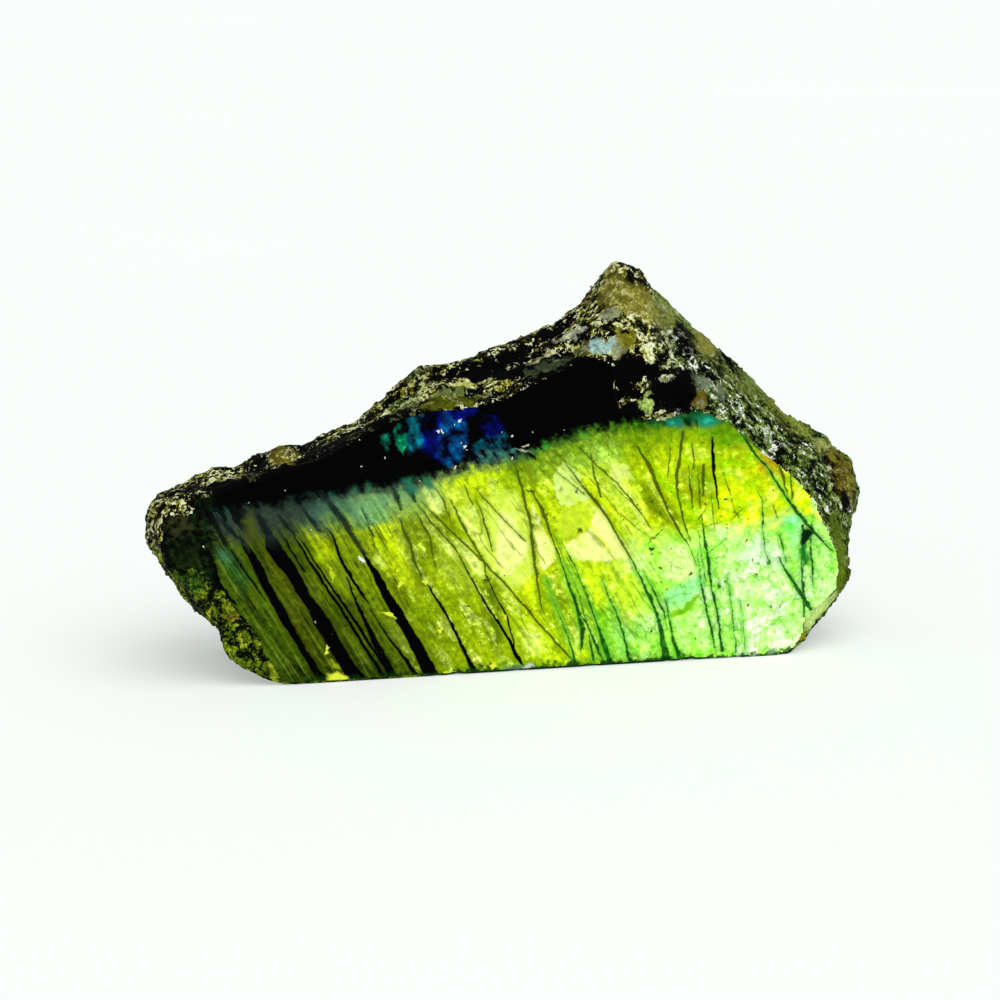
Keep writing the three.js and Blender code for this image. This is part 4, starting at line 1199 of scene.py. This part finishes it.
# Patches that are smoother than the rind round them, in the same form.
SMOOTH_PATCHES = [
    ((38.2, 1.0, 35.7), (4.8, 1.2, 0.9), paint(92, 100, 14), 0.8),
    ((38.0, 2.3, 36.8), (4.4, 0.5, 0.8), paint(148, 162, 84), 0.5),
    ((43.0, 0.9, 36.4), (2.8, 0.8, 0.5), BLACK, 0.75),
    ((41.8, 3.4, 37.6), (3.0, 0.8, 0.7), paint(206, 212, 124), 0.8),
    ((54.9, 3.6, 43.6), (3.4, 0.6, 1.2), paint(180, 184, 160), 0.8),
    ((50.8, 1.3, 39.6), (4.8, 0.9, 1.2), paint(62, 74, 50), 0.85),
    ((55.8, 1.0, 41.8), (1.6, 1.0, 1.0), paint(78, 82, 40), 0.8),
    ((58.3, 0.5, 42.3), (2.3, 1.2, 1.1), paint(166, 204, 200), 0.9),
    ((60.4, 0.5, 41.6), (1.2, 1.0, 0.9), paint(150, 150, 110), 0.7),
    ((61.3, 5.6, 48.0), (2.4, 4.6, 2.8), paint(140, 134, 46), 0.6),
    ((59.6, 2.8, 45.8), (1.3, 1.5, 1.0), paint(150, 154, 120), 0.8),
    ((61.0, 0.5, 43.2), (1.8, 1.5, 1.3), paint(128, 124, 26), 0.8),
    ((59.4, 1.7, 45.0), (0.6, 0.7, 0.5), BLACK, 1.0),
    ((61.1, 1.0, 43.9), (0.5, 0.6, 0.5), BLACK, 1.0),
    ((64.4, 4.8, 46.8), (2.6, 3.6, 3.0), paint(158, 152, 56), 0.62),
    ((66.5, 6.4, 44.5), (3.0, 3.2, 3.0), paint(124, 128, 62), 0.6),
    ((64.0, 0.2, 34.6), (0.8, 0.8, 1.7), paint(176, 204, 104), 0.95),
    ((71.0, 0.3, 34.9), (1.0, 0.9, 1.5), paint(110, 94, 20), 0.85),
    ((71.9, 1.0, 37.3), (1.7, 1.0, 1.6), paint(128, 138, 108), 0.75),
    ((74.6, 1.3, 35.7), (1.6, 1.0, 1.4), paint(124, 134, 104), 0.7),
    ((73.7, 6.8, 41.2), (1.7, 3.0, 2.0), paint(150, 146, 66), 0.7),
    ((90.0, 5.0, 27.2), (1.6, 2.0, 1.4), paint(160, 166, 84), 0.8),
    ((90.6, 0.6, 14.4), (1.5, 1.6, 6.6), paint(100, 120, 26), 0.85),
    # The pale lip at the lower right: the stone's pale mint, made paler as painted light on faces that turn
    # down.
    ((88.4, 1.8, 5.4), (4.4, 3.4, 2.8), paint(214, 246, 140), 0.95),
    ((17.6, 6.0, 28.3), (2.0, 4.0, 1.6), paint(146, 132, 44), 0.5),
]


def reaching(shader, broken, centre, reach):
    """1 within an egg-shaped region of the rind and 0 well outside it."""
    scaled = shader.vector("DIVIDE", shader.vector("SUBTRACT", broken, centre), reach)
    away = shader.node("ShaderNodeVectorMath", {"operation": "LENGTH"}, {0: scaled}, "Value")
    return shader.smooth(away, 1.2, 0.7)


def shade_of(shader, broken):
    """How much darker or lighter each place of the rind is than the rest."""
    shift = None
    for centre, reach, amount in RIND_SHADES:
        part = reaching(shader, broken, centre, reach) * amount
        shift = part if shift is None else shift + part
    return shift


def tinted(patches):
    """A builder for the colour with each patch over it, as bright as the light at that place."""

    def build(shader, colour, broken, lit):
        for centre, reach, patch, strength in patches:
            lit_patch = shader.mix(patch, lit, 1.0, "MULTIPLY")
            colour = shader.mix(colour, lit_patch, reaching(shader, broken, centre, reach) * strength)
        return colour

    return build


def natural_rind(shader):
    """The broken outside: black stone with ochre and cream crumbs, silvery on the right shoulder; its black
    is partly painted shade and its brightest flecks partly painted highlight.
    """
    rock = shader.place()
    across, deep, up = (shader.part_of(rock, axis) for axis in "XYZ")
    broken = shader.jolted(rock, 1.4, 0.8, 3.0, axes=(1, 1, 1))
    broad = shader.noise(rock, 4.5, 3.0, 0.6)
    specks = shader.noise(rock, 0.42, 2.0, 0.7)
    right = shader.smooth(across + swings(broad, 8), 64, 70)
    left = shader.smooth(across, 38, 32)
    along_ridge = streaked(shader, broken, slope=-17, stretch=1.8)
    along_shoulder = streaked(shader, broken, slope=40, stretch=2.6)
    crumbs = shader.noise(along_ridge, 1.25, 5.0, 0.72)
    glints = shader.noise(along_shoulder, 1.1, 5.0, 0.7)
    crumb = shader.part_of(shader.cells(along_ridge, 0.5, output="Color"), "X")
    flake = shader.part_of(shader.cells(along_shoulder, 0.42, output="Color"), "X")

    shift = shader.part("rind_shades", {"broken": broken}, shade_of)
    shared = 0.5 + swings(broad, 0.9) + swings(specks, 0.5) + shift
    tone = shared + swings(crumbs, 1.7) + swings(crumb, 0.62) - 0.05
    calm = shader.smooth(deep + swings(broad, 4), 4.6, 7.4)
    lively = swings(glints, 2.0) + swings(flake, 0.3) - 0.02
    silver_tone = shared + shader.blend(lively, 0.08 + swings(glints, 0.8), calm)
    # Bright flecks on the right shoulder: painted glints off small facets.
    glint_flecks = shader.smooth(flake, 0.8, 0.84) * shader.smooth(glints, 0.47, 0.53)
    glint_flecks = glint_flecks * (1 - calm * 0.8) * shader.smooth(shift, -0.5, -0.2)
    silver = shader.mix(shader.ramp(silver_tone, SILVERY), GLINT_FLECK_WHITE, glint_flecks)
    # Cream crumbs: the stone's pale grains, partly painted highlight on their facets.
    crumbs_and_highlights = shader.smooth(crumb, 0.82, 0.86) * shader.smooth(tone, 0.5, 0.56)
    earth = shader.mix(shader.ramp(tone, EARTHY), CREAM, crumbs_and_highlights)
    mossy_side = shader.smooth(up + right * 5 + swings(broad, 5 + right * 14), 19.5, 16.0)
    moss = shader.noise(broken, 1.8, 4.0, 0.66)
    mossy_tone = shared + 0.02 + swings(moss, 1.9) + swings(crumbs, 0.9) + swings(crumb, 0.4)
    colour = shader.coated(earth, (silver, right), (shader.ramp(mossy_tone, MOSSY), mossy_side))

    lit = shader.grey(shader.blend(tone, silver_tone, right) * 2.2 - 0.3)
    wires = {"colour": colour, "broken": broken, "lit": lit}
    colour = shader.part("rind_patches", wires, tinted(RIND_PATCHES))
    shadowed = shader.smooth(deep + swings(crumbs, 4), 3.2, 1.6) * left * shader.smooth(across, 5, 8)
    # Black in the hollows of the crumbly relief: partly the stone's dark mineral, partly painted shade.
    crevice_shade = shader.smooth(shader.blend(crumbs, glints, right), 0.44, 0.39)
    colour = shader.coated(colour,
                           (BLACK, shadowed * shader.smooth(up, 22, 24) * 0.9),
                           (BLACK, crevice_shade * 0.8))
    lit = shader.grey(1.0 + swings(crumbs, 1.6) + swings(glints, 0.8))
    wires = {"colour": colour, "broken": broken, "lit": lit}
    colour = shader.part("smooth_patches", wires, tinted(SMOOTH_PATCHES))
    colour = shader.mix(colour, shader.grey(0.25 + specks * 1.5), 1.0, "MULTIPLY")
    # Dark green along the front of the base: partly the stone's foot, partly painted contact shadow.
    seam_and_shadow = shader.smooth(up, 0.9, 0.3) * shader.smooth(deep, 2.0, 1.0) * shader.smooth(across, 30, 40)
    colour = shader.mix(colour, RIND_SEAM_AND_SHADOW, seam_and_shadow)
    return colour, 0.45 + crumbs * 0.4, shader.bump(crumbs * 1.4 + specks * 0.5, 1.0, 0.3), 0.04


def streaked(shader, rock, slope, stretch):
    """The place with its texture drawn out along a line that falls by that many degrees to the right."""
    turned = {0: rock, "Rotation": (0, math.radians(slope), 0), "Scale": (stretch, 1, 1)}
    return shader.node("ShaderNodeMapping", {"vector_type": "TEXTURE"}, turned)


def sawn_face(shader):
    """The sawn back and base: matt grey-green stone with faint saw marks, pale veins and dark cracks."""
    place = shader.place()
    clouds = shader.noise(place, 9.0, 5.0, 0.62)
    laths = streaked(shader, shader.jolted(place, 1.5, 0.4, 3.0), slope=58, stretch=3.2)
    lath = shader.part_of(shader.cells(laths, 2.4, output="Color"), "X")
    grain = shader.noise(place, 0.5, 5.0, 0.72)
    cracks = shader.smooth(shader.cells(laths, 5.5, "DISTANCE_TO_EDGE"), 0.03, 0.0)
    worn = shader.smooth(clouds + swings(grain, 0.6), 0.4, 0.65)
    waves = {"Vector": place, "Scale": 0.23, "Distortion": 2.6, "Detail": 3.0, "Detail Scale": 0.15}
    marks = shader.node("ShaderNodeTexWave", {"bands_direction": "Z"}, waves, "Fac")
    colour = shader.coated(shader.ramp(clouds + swings(grain, 0.7) + swings(lath, 0.16), SAWN_STONE),
                           (SAWN_GLOW, shader.smooth(clouds, 0.5, 0.7) * shader.smooth(lath, 0.6, 0.9) * 0.6),
                           (SAWN_CRACK, cracks * 0.85),
                           (SAW_MARK, shader.smooth(marks, 0.7, 1.0) * worn * 0.12))
    return colour, 0.5 + grain * 0.3, shader.bump(grain + marks * worn * 0.4 - cracks, 0.5, 0.1), 0.3


# The polished front is finished in three zones, so that no shader carries marks it doesn't show. Each is its
# name and its right end.
ZONES = [("left", 34.0), ("middle", 58.0), ("right", 96.0)]
FLAT_FACE = 0.02  # a face of the mesh this near to a plane is part of the flat face there
RIND, SAWN = 0, 1


def finish_faces(piece):
    """Gives each face its finish: polished in front, sawn behind and beneath, rind elsewhere."""
    for build in (natural_rind, sawn_face):
        piece.data.materials.append(finished(build.__name__, build))
    measures = as_measures(positions(piece.data))
    corners = numbers_of(piece.data.loops, "vertex_index", kind=int)
    starts = numbers_of(piece.data.polygons, "loop_start", kind=int)
    furthest = np.maximum.reduceat(measures[corners], starts)
    nearest = np.minimum.reduceat(measures[corners], starts)
    finish = np.full(len(starts), RIND)
    finish[(nearest[:, 1] > THICKNESS - FLAT_FACE) | (furthest[:, 2] < FLAT_FACE)] = SAWN
    zone = np.searchsorted([end for _, end in ZONES], (nearest + furthest)[:, 0] / 2)
    for index, (name, _) in enumerate(ZONES):
        within = (furthest[:, 1] < FLAT_FACE) & (zone == index)
        span = float(nearest[within, 0].min()), float(furthest[within, 0].max())
        finish[within] = len(piece.data.materials)
        piece.data.materials.append(finished(f"polished_flash_{name}", partial(polished_flash, span=span)))
    piece.data.polygons.foreach_set("material_index", finish)
    piece.data.polygons.foreach_set("use_smooth", finish == RIND)
    piece.data.update()


# ---------------------------------------------------------------- the studio

FLOOR_SIZE = 8.0
FLOOR_GLOW = 0.4  # light from the table itself, which keeps the shadows on it pale
PALE_TABLE = [(0.3, paint(200, 202, 200)), (0.7, paint(203, 205, 203))]
SKY_COLOUR, SKY_STRENGTH = (0.95, 1.0, 0.975, 1), 0.46
KEY_STRENGTH, KEY_WIDTH, KEY_FROM = 2.0, 60, (0.12, -0.62, 1.0)  # the width in degrees
AZIMUTH, ELEVATION = -12.26, 13  # the camera's, in degrees
AIM, DISTANCE = (-1.25 * MM, 0, 20.58 * MM), 0.35
SENSOR, FOCAL_LENGTH = 36, 95.76


def floor():
    """The plain table top that the stone stands on."""
    half = FLOOR_SIZE / 2
    corners = [(-half, -half, 0), (half, -half, 0), (half, half, 0), (-half, half, 0)]
    mesh = bpy.data.meshes.new("floor")
    mesh.from_pydata(corners, [], [(0, 1, 2, 3)])
    plane = bpy.data.objects.new("floor", mesh)
    bpy.context.scene.collection.objects.link(plane)
    mesh.materials.append(finished("pale_floor", pale_floor, FLOOR_GLOW))
    return plane


def pale_floor(shader):
    place = shader.place()
    colour = shader.ramp(shader.noise(place, 300.0), PALE_TABLE)
    return colour, 0.8, shader.bump(shader.noise(place, 2.0), 0.05, 0.1), 0.1


def studio():
    world = bpy.data.worlds.new("studio")
    world.use_nodes = True
    sky = world.node_tree.nodes["Background"]
    sky.inputs["Color"].default_value = SKY_COLOUR
    sky.inputs["Strength"].default_value = SKY_STRENGTH
    bpy.context.scene.world = world
    bpy.context.scene.view_settings.view_transform = "Standard"
    light = bpy.data.lights.new("key", "SUN")
    light.angle = math.radians(KEY_WIDTH)
    light.energy = KEY_STRENGTH
    key = bpy.data.objects.new("key", light)
    key.rotation_euler = Vector(KEY_FROM).to_track_quat("Z", "Y").to_euler()
    bpy.context.scene.collection.objects.link(key)


def camera():
    azimuth, elevation = math.radians(AZIMUTH), math.radians(ELEVATION)
    level = math.cos(elevation)
    back = Vector((math.sin(azimuth) * level, -math.cos(azimuth) * level, math.sin(elevation)))
    lens = bpy.data.cameras.new("camera")
    lens.sensor_width = SENSOR
    lens.lens = FOCAL_LENGTH
    viewer = bpy.data.objects.new("camera", lens)
    viewer.location = Vector(AIM) + back * DISTANCE
    viewer.rotation_euler = back.to_track_quat("Z", "Y").to_euler()
    bpy.context.scene.collection.objects.link(viewer)
    bpy.context.scene.camera = viewer


camera()
studio()
floor()
stone = shaped_stone()
finish_faces(stone)
lay_out(stone)
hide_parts("labradorite_slab")
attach(stone, "root")
